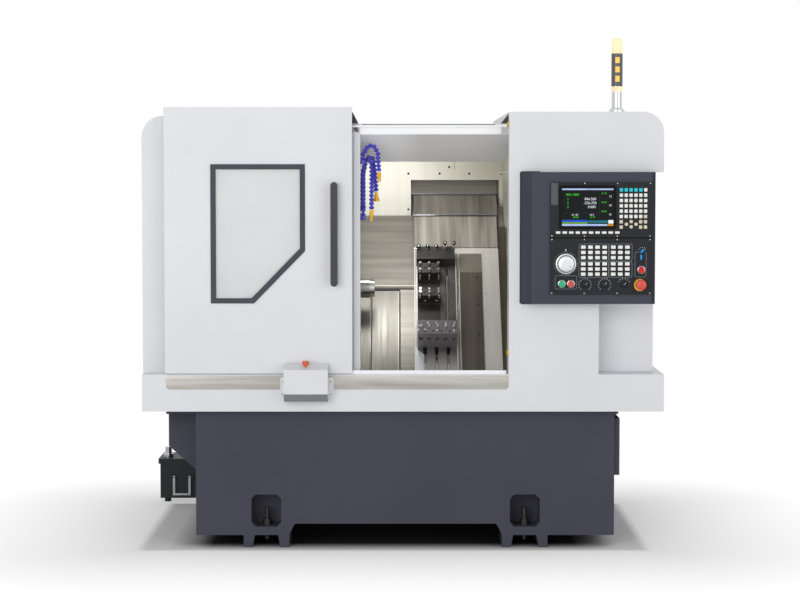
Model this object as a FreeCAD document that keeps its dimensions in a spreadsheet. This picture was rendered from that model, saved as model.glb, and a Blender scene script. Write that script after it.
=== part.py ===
import FreeCAD, Part
import math
import os

import Sketcher

# A gang-tool turning lathe with a 45 degree bed in a sheet-metal enclosure.
# Everything is measured from the machine's own datum: x from the middle, y from
# the front of the enclosure towards the back, z from the floor.  The slanted
# pieces are drawn flat in the bed's own frame (x along the spindle, y up the
# slope, z out of the slope) and tilted as a whole.  The row's frame has its
# origin under the middle of the overall box.

SIZES = {
    # enclosure
    "enclosure_width": 1992,
    "enclosure_depth": 1400,
    "sheet": 3,
    "apron_bottom": 530,
    "apron_top": 672,
    "left_drop": 32,
    "left_setback": 70,
    "corner_radius": 80,
    "doorway_left": -164,
    "doorway_right": 403,
    "notch_drop": 61,
    "hood_drop": 18,
    "hood_bottom": 1443,
    "hood_inset": 6,
    "pillar_inset": 30,
    "alcove_width": 220,
    "alcove_depth": 120,
    # door
    "door_height": 1014,
    "door_inset": 88,
    "door_overlap": 30,
    "door_gap": 3,
    "door_front": 5,
    "door_thickness": 45,
    "window_left": 176,
    "window_width": 360,
    "window_bottom": 268,
    "window_height": 530,
    "window_cut_x": 195,
    "window_cut_z": 200,
    "seal_width": 20,
    "handle_inset": 54,
    "handle_width": 27,
    "handle_low": 334,
    "handle_length": 396,
    "handle_reach": 40,
    "handle_bar": 16,
    # base
    "base_inset_left": 200,
    "base_inset_right": 184,
    "base_setback": 40,
    "base_skirt": 48,
    "base_arch": 92,
    "arch_offset": 96,
    "base_wall": 16,
    "foot_inset_left": 270,
    "foot_inset_right": 343,
    "foot_span": 175,
    "foot_toe": 33,
    "foot_depth": 200,
    "pocket_width": 115,
    "pocket_bottom": 80,
    "pocket_height": 125,
    "pocket_depth": 110,
    "pocket_chamfer": 17,
    "bolt_radius": 10,
    "bolt_top": 148,
    "nut_width": 30,
    "nut_height": 22,
    "wing_reach": 115,
    "wing_setback": 150,
    "wing_low": 379,
    "wing_foot": 291,
    "side_cover": 22,
    # slanted bed
    "slant_angle": 45,
    "table_y": 250,
    "table_z": 650,
    "bed_sink": 150,
    "bed_left": -780,
    "bed_right": 620,
    "bed_top": 1040,
    "bed_gap": 70,
    "bed_wall": 50,
    "rail_width": 30,
    "rail_height": 26,
    "lower_rail": 150,
    "upper_rail": 640,
    "carriage_left": 47,
    "carriage_right": 395,
    "travel_z": 150,
    "spindle_up": 407,
    "spindle_height": 55,
    "nose_left": -182,
    "nose_right": -114,
    "nose_radius": 40,
    # spindle drive
    "headstock_right": -330,
    "headstock_left": -700,
    "headstock_width": 150,
    "pulley_radius": 70,
    "pulley_width": 44,
    "motor_radius": 80,
    "motor_up": 130,
    "motor_length": 276,
    "motor_pulley_radius": 42,
    "belt_thickness": 8,
    # carriage and slide
    "saddle_base": 104,
    "saddle_top": 84,
    "x_rail_height": 22,
    "x_runner_gap": 18,
    "slide_base": 40,
    "slide_top": 12,
    "slide_low": -60,
    "slide_high": 686,
    "table_left": 60,
    "table_right": 215,
    "slot_width": 12,
    "slot_depth": 9,
    "block_height": 50,
    "cover_step": 4,
    "cover_sheet": 2,
    "cover_span": 240,
    "side_plate": 58,
    "middle_low": 875,
    "top_low": 996,
    "shield_y": 965,
    "shield_gap": 59.132,
    "shield_opening": 200,
    "shield_right": 600,
    # controls
    "panel_inset": 14,
    "panel_width": 505,
    "panel_height": 498.5,
    "panel_reach": 55,
    "unit_margin": 14,
    "unit_width": 382,
    "unit_reach": 8,
    "display_drop": 38,
    "display_height": 208,
    "unit_gap": 4,
    "operator_height": 212,
    "key_reach": 2.5,
    "knob_reach": 30,
    # button box, tower light, tank
    "box_left": -452,
    "box_right": -285,
    "box_low": 573,
    "box_high": 715,
    "box_reach": 70,
    "tower_inset": 161,
    "tower_y": 250,
    "tower_height": 294,
    "tower_radius": 22,
    "tank_front": 1180,
    "tank_reach": 267,
    "tank_depth": 215,
    "tank_bottom": 18,
    "tank_height": 152,
    "lid_lip": 7,
    "lid_height": 22,
    "hose_radius": 10,
    "hose_pitch": 17,
    "clearance": 0.3,
}


class Length:
    # A size as a number and as the formula that the document keeps for it.
    def __init__(self, value, text):
        self.value = float(value)
        self.text = text

    def join(self, other, sign, value, flip=False):
        left, right = (other, self) if flip else (self, other)
        return Length(value, f"({written(left)} {sign} {written(right)})")

    def __add__(self, other):
        return self.join(other, "+", self.value + number(other))

    def __radd__(self, other):
        return self.join(other, "+", number(other) + self.value, True)

    def __sub__(self, other):
        return self.join(other, "-", self.value - number(other))

    def __rsub__(self, other):
        return self.join(other, "-", number(other) - self.value, True)

    def __mul__(self, other):
        return self.join(other, "*", self.value * number(other))

    def __rmul__(self, other):
        return self.join(other, "*", number(other) * self.value, True)

    def __truediv__(self, other):
        return self.join(other, "/", self.value / number(other))

    def __neg__(self):
        return Length(-self.value, f"(0 - {self.text})")


def number(size):
    return size.value if isinstance(size, Length) else float(size)


def written(size):
    if isinstance(size, Length):
        return size.text
    return f"{size}" if size >= 0 else f"(0 - {-size})"


doc = FreeCAD.newDocument("TurningLathe")
sheet = doc.addObject("Spreadsheet::Sheet", "Sizes")
for row, (alias, value) in enumerate(SIZES.items(), 1):
    sheet.set(f"A{row}", str(value))
    sheet.setAlias(f"A{row}", alias)
doc.recompute()


class Named:
    pass


s = Named()
for alias in SIZES:
    setattr(s, alias, Length(getattr(sheet, alias), f"Sizes.{alias}"))

half_width = s.enclosure_width / 2
s.door_left = s.door_inset - half_width
s.door_right = s.doorway_left - s.door_overlap
s.door_low = s.apron_top + s.door_gap
s.door_high = s.door_low + s.door_height
s.left_top = s.door_high - s.left_drop
s.notch_top = s.door_high - s.notch_drop
s.hood_top = s.door_high - s.hood_drop
s.hood_right = half_width - s.hood_inset
s.pillar_right = half_width - s.pillar_inset
s.alcove_left = s.pillar_right - s.alcove_width
s.base_left = s.base_inset_left - half_width
s.base_right = half_width - s.base_inset_right
s.foot_left = s.base_left + s.foot_inset_left
s.foot_right = s.base_right - s.foot_inset_right
s.wing_left = s.base_left - s.wing_reach
s.bed_back = s.enclosure_depth - s.bed_gap
s.panel_right = s.pillar_right - s.panel_inset
s.panel_left = s.panel_right - s.panel_width
s.panel_high = s.hood_bottom
s.panel_low = s.panel_high - s.panel_height
s.unit_right = s.panel_right - s.unit_margin
s.unit_left = s.unit_right - s.unit_width
s.display_high = s.panel_high - s.display_drop
s.display_low = s.display_high - s.display_height
s.operator_high = s.display_low - s.unit_gap
s.operator_low = s.operator_high - s.operator_height
s.tower_x = half_width - s.tower_inset
s.tank_left = s.base_left - s.tank_reach
panel_front = -s.panel_reach
unit_front = panel_front - s.unit_reach
front_reach = s.panel_reach + s.unit_reach + s.knob_reach
frame_x = (-s.tank_left + s.lid_lip - half_width) / 2
frame_y = (front_reach - s.enclosure_depth) / 2
slant = math.radians(number(s.slant_angle))
sine = Length(math.sin(slant), "sin(Sizes.slant_angle * 1 deg)")
cosine = Length(math.cos(slant), "cos(Sizes.slant_angle * 1 deg)")


def bed_y(up, out):
    # depth in the machine of a point up the slope and out of it
    return s.table_y + up * cosine - out * sine


def bed_z(up, out):
    return s.table_z + up * sine + out * cosine


parts = {}
PLANES = {"x": "YZ_Plane", "y": "XZ_Plane", "z": "XY_Plane"}


def bind(thing, name, size):
    if isinstance(size, Length):
        thing.setExpression(name, size.text)
    else:
        thing.setExpression(name, written(size))


def across(axis, first, second, along):
    # coordinates in the plane square to an axis, and the height over that plane
    return (first, second, -along) if axis == "y" else (first, second, along)


class Piece:
    # One sub-part: a body with its features, in the machine's or the bed's frame.
    def __init__(self, name, slanted=False):
        self.name = name
        self.body = doc.addObject("PartDesign::Body", "Body_" + name)
        self.body.Label = name
        self.count = 0
        bind(self.body, "Placement.Base.x", frame_x)
        if slanted:
            bind(self.body, "Placement.Base.y", frame_y + s.table_y)
            bind(self.body, "Placement.Base.z", s.table_z)
            self.body.Placement.Rotation = FreeCAD.Rotation(FreeCAD.Vector(1, 0, 0), 1)
            bind(self.body, "Placement.Rotation.Angle", s.slant_angle)
        else:
            bind(self.body, "Placement.Base.y", frame_y)
        parts[name] = self.body

    def feature(self, kind, axis, offset):
        self.count += 1
        made = self.body.newObject(kind, f"{self.name}_{self.count}")
        plane = [f for f in self.body.Origin.OriginFeatures if f.Role == PLANES[axis]][0]
        made.AttachmentSupport = (plane, "")
        made.MapMode = "FlatFace"
        for key, size in zip("xyz", offset):
            bind(made, f"AttachmentOffset.Base.{key}", size)
        return made

    def box(self, x, y, z, cut=False):
        kind = "PartDesign::SubtractiveBox" if cut else "PartDesign::AdditiveBox"
        made = self.feature(kind, "z", (x[0], y[0], z[0]))
        bind(made, "Length", x[1] - x[0])
        bind(made, "Width", y[1] - y[0])
        bind(made, "Height", z[1] - z[0])
        return self

    def rod(self, axis, first, second, span, radius, cut=False):
        # first and second are the centre in the other two axes, in x, y, z order
        kind = "PartDesign::SubtractiveCylinder" if cut else "PartDesign::AdditiveCylinder"
        start = span[1] if axis == "y" else span[0]
        made = self.feature(kind, axis, across(axis, first, second, start))
        bind(made, "Radius", radius)
        bind(made, "Height", span[1] - span[0])
        return self

    def cone(self, axis, first, second, span, radii):
        # radii at the low and the high end of the span
        start = span[1] if axis == "y" else span[0]
        low, high = (radii[1], radii[0]) if axis == "y" else radii
        made = self.feature("PartDesign::AdditiveCone", axis, across(axis, first, second, start))
        bind(made, "Radius1", low)
        bind(made, "Radius2", high)
        bind(made, "Height", span[1] - span[0])
        return self

    def prism(self, axis, points, span, cut=False):
        # an outline in the plane square to the axis, carried along it over the span
        start = span[1] if axis == "y" else span[0]
        sketch = self.feature("Sketcher::SketchObject", axis, across(axis, 0, 0, start))
        corners = [FreeCAD.Vector(number(u), number(v), 0) for u, v in points]
        for index, corner in enumerate(corners):
            sketch.addGeometry(Part.LineSegment(corner, corners[(index + 1) % len(corners)]), False)
        rules = []
        for index, (u, v) in enumerate(points):
            before = (index - 1) % len(points)
            rules.append(Sketcher.Constraint("Coincident", before, 2, index, 1))
            rules.append(Sketcher.Constraint("DistanceX", -1, 1, index, 1, number(u)))
            rules.append(Sketcher.Constraint("DistanceY", -1, 1, index, 1, number(v)))
        sketch.addConstraint(rules)
        for index, (u, v) in enumerate(points):
            bind(sketch, f"Constraints[{3 * index + 1}]", u)
            bind(sketch, f"Constraints[{3 * index + 2}]", v)
        self.count += 1
        kind = "PartDesign::Pocket" if cut else "PartDesign::Pad"
        made = self.body.newObject(kind, f"{self.name}_{self.count}")
        made.Profile = sketch
        made.Type = "Length"
        made.Reversed = cut
        bind(made, "Length", span[1] - span[0])
        sketch.Visibility = False
        return self

    def fillet(self, radius, test):
        # rounds the edges that pass the test
        doc.recompute()
        base = self.body.Tip
        names = [f"Edge{i}" for i, edge in enumerate(base.Shape.Edges, 1) if test(edge)]
        if not names:
            raise RuntimeError(f"{self.name}: no edge to round")
        self.count += 1
        made = self.body.newObject("PartDesign::Fillet", f"{self.name}_{self.count}")
        made.Base = (base, names)
        bind(made, "Radius", radius)
        return self


def runs(axis, **where):
    # edges along an axis that pass through the given coordinates
    lanes = {"x": 0, "y": 1, "z": 2}

    def test(edge):
        if not isinstance(edge.Curve, Part.Line):
            return False
        ends = [vertex.Point for vertex in edge.Vertexes]
        step = ends[1] - ends[0]
        if abs(step[lanes[axis]]) < step.Length * 0.999:
            return False
        for lane, size in where.items():
            sizes = size if isinstance(size, (list, tuple)) else [size]
            if min(abs(ends[0][lanes[lane]] - number(one)) for one in sizes) > 0.01:
                return False
        return True

    return test


# ---------------------------------------------------------------- base
base_back = s.enclosure_depth
feet = [s.foot_left, s.foot_right]
arch_left = s.foot_left + s.arch_offset
arch_right = s.foot_right - s.arch_offset
foot_half = s.foot_span / 2
foot_top = s.pocket_bottom + s.pocket_height + s.base_wall
foot_rows = [(s.base_setback, s.base_setback + s.foot_depth), (base_back - s.foot_depth, base_back)]
bolt_rows = [s.base_setback + s.pocket_depth / 2, base_back - s.pocket_depth / 2]


def base_casting():
    piece = Piece("base_casting")
    bottom, top = s.base_skirt, s.apron_bottom
    piece.prism("y", [
        (s.base_left, bottom),
        (arch_left - 10, bottom),
        (arch_left + 14, s.base_arch),
        (arch_right - 14, s.base_arch),
        (arch_right + 10, bottom),
        (s.base_right, bottom),
        (s.base_right, top),
        (s.base_left, top),
    ], (s.base_setback, base_back))
    piece.box(
        (s.base_left + s.base_wall, s.base_right - s.base_wall),
        (s.base_setback + s.base_wall, base_back - s.base_wall),
        (0, top - s.base_wall), cut=True)
    piece.box(
        (s.wing_left, s.base_right + s.base_wall),
        (s.base_setback + 20, base_back),
        (top - s.base_wall, top))
    piece.box(
        (s.base_right - 1, s.base_right + s.side_cover),
        (s.base_setback + 20, s.base_setback + 440),
        (s.wing_foot - 13, top - 33))
    piece.prism("y", [
        (s.wing_left, s.wing_low),
        (s.base_left - 15, s.wing_foot),
        (s.base_left + 1, s.wing_foot),
        (s.base_left + 1, top - 1),
        (s.wing_left, top - 1),
    ], (s.wing_setback, s.wing_setback + s.base_wall))
    for centre in feet:
        for near, far in foot_rows:
            piece.box(
                (centre - foot_half, centre + foot_half),
                (near - 1, far + 1),
                (bottom - 1, foot_top), cut=True)


def base_feet():
    # a block under each corner, open to the front or the back for its levelling bolt
    piece = Piece("base_feet")
    bottom = s.base_skirt
    low, high = s.pocket_bottom, s.pocket_bottom + s.pocket_height
    bevel = s.pocket_chamfer
    mouths = [
        (s.base_setback - 1, s.base_setback + s.pocket_depth),
        (base_back - s.pocket_depth, base_back + 1),
    ]
    for centre in feet:
        left, right = centre - s.pocket_width / 2, centre + s.pocket_width / 2
        for (near, far), mouth in zip(foot_rows, mouths):
            piece.box((centre - foot_half, centre + foot_half), (near, far), (bottom, foot_top))
            for side in (-1, 1):
                piece.prism("y", [
                    (centre + side * foot_half, bottom + 1),
                    (centre + side * foot_half, 0),
                    (centre + side * (foot_half - s.foot_toe), 0),
                    (centre + side * (foot_half - s.foot_toe - 10), bottom + 1),
                ], (near, far))
            piece.prism("y", [
                (left + bevel, low), (right - bevel, low), (right, low + bevel), (right, high - bevel),
                (right - bevel, high), (left + bevel, high), (left, high - bevel), (left, low + bevel),
            ], mouth, cut=True)
        for row in bolt_rows:
            piece.rod("z", centre, row, (0, s.pocket_bottom + 1), s.bolt_radius + s.clearance, cut=True)


def levelling_bolts():
    piece = Piece("levelling_bolts")
    across_corners = s.nut_width / math.cos(math.pi / 6) / 2
    for centre in feet:
        for row in bolt_rows:
            piece.rod("z", centre, row, (s.base_skirt / 2, s.bolt_top), s.bolt_radius)
            hexagon = [(centre + across_corners * math.cos(k * math.pi / 3),
                        row + across_corners * math.sin(k * math.pi / 3)) for k in range(6)]
            piece.prism("z", hexagon, (s.pocket_bottom, s.pocket_bottom + s.nut_height))


def slant_bed():
    piece = Piece("slant_bed")
    toe = (s.apron_bottom - s.table_z + s.bed_sink * cosine) / sine
    top = s.bed_top
    piece.prism("x", [
        (bed_y(toe, -s.bed_sink), s.apron_bottom),
        (s.bed_back, s.apron_bottom),
        (s.bed_back, s.apron_bottom + 200),
        (bed_y(top, -s.bed_sink) + 100, bed_z(top, -s.bed_sink)),
        (bed_y(top, -s.bed_sink), bed_z(top, -s.bed_sink)),
    ], (s.bed_left, s.bed_right))
    wall = s.bed_wall
    inner = -s.bed_sink - wall
    low = (s.apron_bottom + wall - s.table_z - inner * cosine) / sine
    piece.prism("x", [
        (bed_y(low, inner), s.apron_bottom + wall),
        (s.bed_back - wall, s.apron_bottom + wall),
        (s.bed_back - wall, s.apron_bottom + 160),
        (bed_y(top - 60, inner) + 60, bed_z(top - 60, inner)),
        (bed_y(top - 60, inner), bed_z(top - 60, inner)),
    ], (s.bed_left - 1, s.bed_right + 1), cut=True)


def z_rails():
    piece = Piece("z_rails", slanted=True)
    for row in (s.lower_rail, s.upper_rail):
        piece.box(
            (s.carriage_left - s.travel_z - 40, s.bed_right),
            (row - s.rail_width / 2, row + s.rail_width / 2),
            (-s.bed_sink, s.rail_height - s.bed_sink))


base_casting()
base_feet()
levelling_bolts()
slant_bed()
z_rails()

# ---------------------------------------------------------------- enclosure
jamb_left = s.doorway_left - 36
roof_back = s.enclosure_depth - s.sheet
right_wall = s.doorway_right + 22
wall_back = s.shield_y - 6
rail_front = s.door_front + s.door_thickness + 8
rail_low = s.notch_top - 14
rail_high = s.notch_top - 6
hook_low = rail_low - 18
sill_rail = (s.door_front + 14, s.door_front + 22)
sill_rail_top = s.apron_top + 14


def apron():
    piece = Piece("apron")
    piece.box((-half_width, half_width), (0, roof_back), (s.apron_bottom, s.apron_top))
    piece.box(
        (s.sheet - half_width, half_width - s.sheet), (s.sheet, roof_back + 1),
        (s.apron_bottom - 1, s.apron_top - s.sheet), cut=True)
    piece.box(
        (s.door_left, s.pillar_right), (s.left_setback + 4, roof_back + 1),
        (s.apron_top - s.sheet - 1, s.apron_top + 1), cut=True)


def sill_strip():
    piece = Piece("sill_strip")
    piece.box((s.door_left + 4, s.doorway_right), (-2, 0), (s.apron_top - 57, s.apron_top - 4))
    piece.fillet(15, runs("y", z=s.apron_top - 57))


def left_housing():
    piece = Piece("left_housing")
    left, right = -half_width - 4, jamb_left
    piece.box((left, right), (s.left_setback, roof_back), (s.apron_top, s.left_top))
    piece.fillet(s.corner_radius, runs("y", x=left, z=s.left_top))
    piece.box((left + s.sheet, right + 1), (s.left_setback + s.sheet, roof_back + 1),
              (s.apron_top - 1, s.left_top - s.corner_radius), cut=True)
    piece.box((left + s.corner_radius, right + 1), (s.left_setback + s.sheet, roof_back + 1),
              (s.left_top - s.corner_radius - 1, s.left_top - s.sheet), cut=True)


def right_housing():
    piece = Piece("right_housing")
    left, low, top = s.doorway_right, s.apron_top, s.hood_top
    piece.box((left, s.hood_right), (0, roof_back), (low, top))
    piece.fillet(s.corner_radius, runs("y", x=s.hood_right, z=top))
    piece.box((s.pillar_right, s.hood_right + 1), (-1, roof_back + 1), (low - 1, s.hood_bottom), cut=True)
    piece.box((s.alcove_left, s.pillar_right + 1), (-1, s.alcove_depth), (low - 1, s.hood_bottom), cut=True)
    back = s.alcove_depth + s.sheet
    piece.box((left + s.sheet, s.alcove_left - s.sheet), (s.sheet, roof_back + 1),
              (low - 1, s.hood_bottom - s.sheet), cut=True)
    piece.box((s.alcove_left - s.sheet - 1, s.pillar_right - s.sheet), (back, roof_back + 1),
              (low - 1, s.hood_bottom - s.sheet), cut=True)
    piece.box((left + s.sheet, s.hood_right - s.corner_radius), (s.sheet, roof_back + 1),
              (s.hood_bottom + s.sheet, top - s.sheet), cut=True)
    floor = (s.hood_bottom - s.sheet - 1, s.hood_bottom + s.sheet + 1)
    piece.box((right_wall, s.alcove_left - s.sheet), (s.alcove_depth, roof_back + 1), floor, cut=True)
    piece.box((left + s.sheet, right_wall + 1), (wall_back, roof_back + 1), floor, cut=True)
    piece.box((left - 1, left + s.sheet + 1), (s.alcove_depth, roof_back + 1),
              (low - 1, s.notch_top - 38), cut=True)


def rear_cover():
    piece = Piece("rear_cover")
    piece.prism("y", [
        (-half_width, s.apron_bottom), (half_width, s.apron_bottom), (half_width, s.apron_top),
        (s.pillar_right, s.apron_top), (s.pillar_right, s.hood_bottom), (s.hood_right, s.hood_bottom),
        (s.hood_right, s.left_top - s.corner_radius), (s.hood_right - s.corner_radius, s.left_top - 30),
        (s.corner_radius - half_width, s.left_top - 30), (-half_width, s.left_top - s.corner_radius),
    ], (roof_back, s.enclosure_depth))


def roof_panel():
    piece = Piece("roof_panel")
    piece.box((jamb_left, s.doorway_right), (s.left_setback, roof_back), (s.notch_top - s.sheet, s.notch_top))


def notch_trims():
    piece = Piece("notch_trims")
    span = (s.left_setback, s.left_setback + 24)
    left, right, low = jamb_left, s.doorway_right, s.notch_top
    piece.prism("y", [(left, low), (left + 30, low), (left + 8, s.hood_top), (left, s.hood_top)], span)
    piece.prism("y", [(right - 29, low), (right, low), (right, s.hood_top - 6)], span)


def door_jamb():
    piece = Piece("door_jamb")
    left, right, top = jamb_left, s.doorway_left, s.notch_top - s.sheet
    piece.box((left, right), (s.left_setback - 8, s.left_setback + 90), (s.apron_top, top))
    piece.box((left - 1, right - s.sheet), (s.left_setback - 8 + s.sheet, s.left_setback + 91),
              (s.apron_top - 1, top + 1), cut=True)
    piece.box((left + 12, left + 15), (s.left_setback - 10, s.left_setback - 7), (s.apron_top, top))
    piece.box((left - 1, right + 1), (s.left_setback - 11, s.left_setback + s.clearance),
              (hook_low - s.clearance, top + 1), cut=True)


def header_beam():
    piece = Piece("header_beam")
    piece.box((s.doorway_left, s.doorway_right), (s.left_setback + 1, s.left_setback + 21),
              (s.notch_top - 40, s.notch_top - s.sheet))


def header_panel():
    piece = Piece("header_panel")
    near, far = s.left_setback + 21, s.left_setback + 190
    high, low = s.notch_top - 39, s.notch_top - 141
    piece.prism("x", [(near, high - s.sheet), (far, low - s.sheet), (far, low), (near, high)],
                (s.doorway_left, s.doorway_right))


def door_rails():
    piece = Piece("door_rails")
    piece.box((s.door_left + 8, s.doorway_right), (rail_front, s.left_setback), (rail_low, rail_high))
    piece.box((s.door_left + 8, s.doorway_right - 8), sill_rail, (s.apron_top, sill_rail_top))


def inner_walls():
    piece = Piece("inner_walls")
    top, out = s.notch_top - s.sheet, -30
    foot = s.apron_bottom + 30
    near, far = s.left_setback + 95, wall_back
    start = (foot - s.table_z - out * cosine) / sine
    end = (far - s.table_y + out * sine) / cosine
    outline = [(near, foot), (bed_y(start, out), foot), (far, bed_z(end, out)), (far, top), (near, top)]
    left = s.doorway_left - 16
    for where in (left, right_wall):
        piece.prism("x", outline, (where, where + s.sheet))
    hole_y, hole_z = bed_y(s.spindle_up, s.spindle_height), bed_z(s.spindle_up, s.spindle_height)
    piece.rod("x", hole_y, hole_z, (left - 1, left + s.sheet + 1), s.nose_radius + 22, cut=True)


def door_bumpers():
    piece = Piece("door_bumpers")
    for height in (s.apron_top + 82, s.hood_top - 47):
        piece.rod("x", s.door_front + 20, height, (s.doorway_right - 7, s.doorway_right), 11)


apron()
sill_strip()
left_housing()
right_housing()
rear_cover()
roof_panel()
notch_trims()
door_jamb()
header_beam()
header_panel()
door_rails()
inner_walls()
door_bumpers()

# ---------------------------------------------------------------- door
door_back = s.door_front + s.door_thickness
window_left = s.door_left + s.window_left
window_right = window_left + s.window_width
window_low = s.door_low + s.window_bottom
window_high = window_low + s.window_height


def window_outline(inset):
    left, right = window_left + inset, window_right - inset
    low, high = window_low + inset, window_high - inset
    return [(left, low), (right - s.window_cut_x + inset / 2, low), (right, low + s.window_cut_z - inset / 2),
            (right, high), (left, high)]


def door_panel():
    piece = Piece("door_panel")
    piece.box((s.door_left, s.door_right), (s.door_front, door_back), (s.door_low, s.door_high))
    piece.box((s.door_left + s.sheet, s.door_right - s.sheet), (s.door_front + s.sheet, door_back + 1),
              (s.door_low - 1, s.door_high - s.sheet), cut=True)
    piece.prism("y", window_outline(s.clearance), (s.door_front - 1, s.door_front + s.sheet + 1), cut=True)
    for middle in (s.door_left + 110, s.door_right - 110):
        piece.box((middle - 30, middle + 30), (s.door_front + s.sheet - 1, s.left_setback - 1),
                  (hook_low, hook_low + 52))
        piece.box((middle - 31, middle + 31), (rail_front - s.clearance, s.left_setback + 1),
                  (rail_low - s.clearance, rail_high + s.clearance), cut=True)
    piece.box((s.door_left - 1, s.door_right + 1), (sill_rail[0] - s.clearance, sill_rail[1] + s.clearance),
              (s.door_low - 1, sill_rail_top + s.clearance), cut=True)


def window_seal():
    piece = Piece("window_seal")
    piece.prism("y", window_outline(s.clearance), (s.door_front - 3, s.door_front + 10))
    piece.prism("y", window_outline(s.seal_width), (s.door_front - 4, s.door_front + 11), cut=True)


def window_glass():
    piece = Piece("window_glass")
    piece.prism("y", window_outline(s.seal_width), (s.door_front + 3, s.door_front + 8))


def door_handle():
    piece = Piece("door_handle")
    right = s.door_right - s.handle_inset
    middle = right - s.handle_width / 2
    low, high = s.door_low + s.handle_low, s.door_low + s.handle_low + s.handle_length
    front = s.door_front - s.handle_reach
    piece.box((right - s.handle_width, right), (front, front + s.handle_bar), (low, high))
    piece.fillet(s.handle_width / 2 - 0.5, runs("y", x=[right - s.handle_width, right]))
    for height in (low + 26, high - 26):
        piece.rod("y", middle, height, (front + s.handle_bar - 1, s.door_front), 8)


door_panel()
window_seal()
window_glass()
door_handle()

# ---------------------------------------------------------------- spindle drive
bore = s.nose_radius + 5
pulley_left = s.headstock_left - 14 - s.pulley_width
pulley_right = s.headstock_left - 14
bed_face = -s.bed_sink


def headstock():
    piece = Piece("headstock", slanted=True)
    half = s.headstock_width / 2
    low, high = s.spindle_up - half, s.spindle_up + half
    top = s.spindle_height + half
    piece.box((s.headstock_left, s.headstock_right), (low, high), (bed_face, top))
    piece.fillet(half / 2, runs("x", z=top))
    up, out = s.spindle_up, s.spindle_height
    piece.rod("x", up, out, (s.headstock_right - 1, s.nose_left - 4), s.nose_radius + 18)
    piece.rod("x", up, out, (s.headstock_left - 1, s.nose_left), bore + s.clearance, cut=True)


def spindle():
    piece = Piece("spindle", slanted=True)
    up, out, nose = s.spindle_up, s.spindle_height, s.nose_radius
    middle = s.nose_left + (s.nose_right - s.nose_left) * 0.72
    piece.rod("x", up, out, (pulley_left - 8, s.nose_left), bore)
    piece.rod("x", up, out, (s.nose_left - 0.5, middle), nose)
    piece.rod("x", up, out, (middle - 1, middle + 4), nose - 4)
    piece.cone("x", up, out, (middle + 3, s.nose_right), (nose - 1, nose - 5))
    piece.rod("x", up, out, (pulley_left, pulley_right), s.pulley_radius)
    piece.rod("x", up, out, (s.nose_right - 60, s.nose_right + 1), 13, cut=True)


def spindle_motor():
    piece = Piece("spindle_motor", slanted=True)
    left = s.headstock_left + 4
    right = left + s.motor_length
    piece.rod("x", s.motor_up, 0, (left, right), s.motor_radius)
    piece.box((left + 30, right - 30), (s.motor_up - 60, s.motor_up + 60), (bed_face, -40))
    piece.rod("x", s.motor_up, 0, (left - 1, left + 50), 15.3, cut=True)


def motor_pulley():
    piece = Piece("motor_pulley", slanted=True)
    piece.rod("x", s.motor_up, 0, (pulley_left, pulley_right), s.motor_pulley_radius)
    piece.rod("x", s.motor_up, 0, (pulley_right - 1, s.headstock_left + 50), 15)


def belt_loop(first, second, radii):
    # closed outline of a belt round two wheels: two tangents and two arcs
    gap = second - first
    tilt = math.atan2(gap.y, gap.x)
    lean = math.acos((radii[0] - radii[1]) / gap.Length)

    def at(centre, radius, angle):
        return centre + FreeCAD.Vector(radius * math.cos(angle), radius * math.sin(angle), 0)

    one, two = at(first, radii[0], tilt + lean), at(first, radii[0], tilt - lean)
    three, four = at(second, radii[1], tilt - lean), at(second, radii[1], tilt + lean)
    return Part.Wire([
        Part.Arc(one, at(first, radii[0], tilt + math.pi), two).toShape(),
        Part.LineSegment(two, three).toShape(),
        Part.Arc(three, at(second, radii[1], tilt), four).toShape(),
        Part.LineSegment(four, one).toShape(),
    ])


def place_slanted(thing):
    turn = FreeCAD.Rotation(FreeCAD.Vector(1, 0, 0), number(s.slant_angle))
    base = FreeCAD.Vector(number(frame_x), number(frame_y + s.table_y), number(s.table_z))
    thing.Placement = FreeCAD.Placement(base, turn)


def drive_belt():
    first = FreeCAD.Vector(number(s.spindle_up), number(s.spindle_height), 0)
    second = FreeCAD.Vector(number(s.motor_up), 0, 0)
    inner = [number(s.pulley_radius + s.clearance), number(s.motor_pulley_radius + s.clearance)]
    outer = [radius + number(s.belt_thickness) for radius in inner]
    width = FreeCAD.Vector(0, 0, number(s.pulley_width - 12))
    solid = Part.Face(belt_loop(first, second, outer)).extrude(width)
    ring = solid.cut(Part.Face(belt_loop(first, second, inner)).extrude(width))
    turn = FreeCAD.Matrix(0, 0, 1, number(pulley_left + 6), 1, 0, 0, 0, 0, 1, 0, 0, 0, 0, 0, 1)
    thing = doc.addObject("Part::Feature", "drive_belt")
    thing.Label = "drive_belt"
    thing.Shape = ring.transformed(turn, copy=True)
    place_slanted(thing)
    parts["drive_belt"] = thing


headstock()
spindle()
spindle_motor()
motor_pulley()
drive_belt()

# ---------------------------------------------------------------- carriage
cover_low = s.slide_low + 10
cover_high = s.spindle_up + 81
saddle_left = s.carriage_left - 10
saddle_right = s.carriage_right + 11
x_rail_rows = (s.carriage_left + 53, s.carriage_right - 55)
lip_up = cover_high + 17
left_end = s.headstock_right + 5
low_cover_top = -s.slide_top + s.cover_sheet
middle_top = low_cover_top + s.cover_step
top_top = middle_top + s.cover_step


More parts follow.
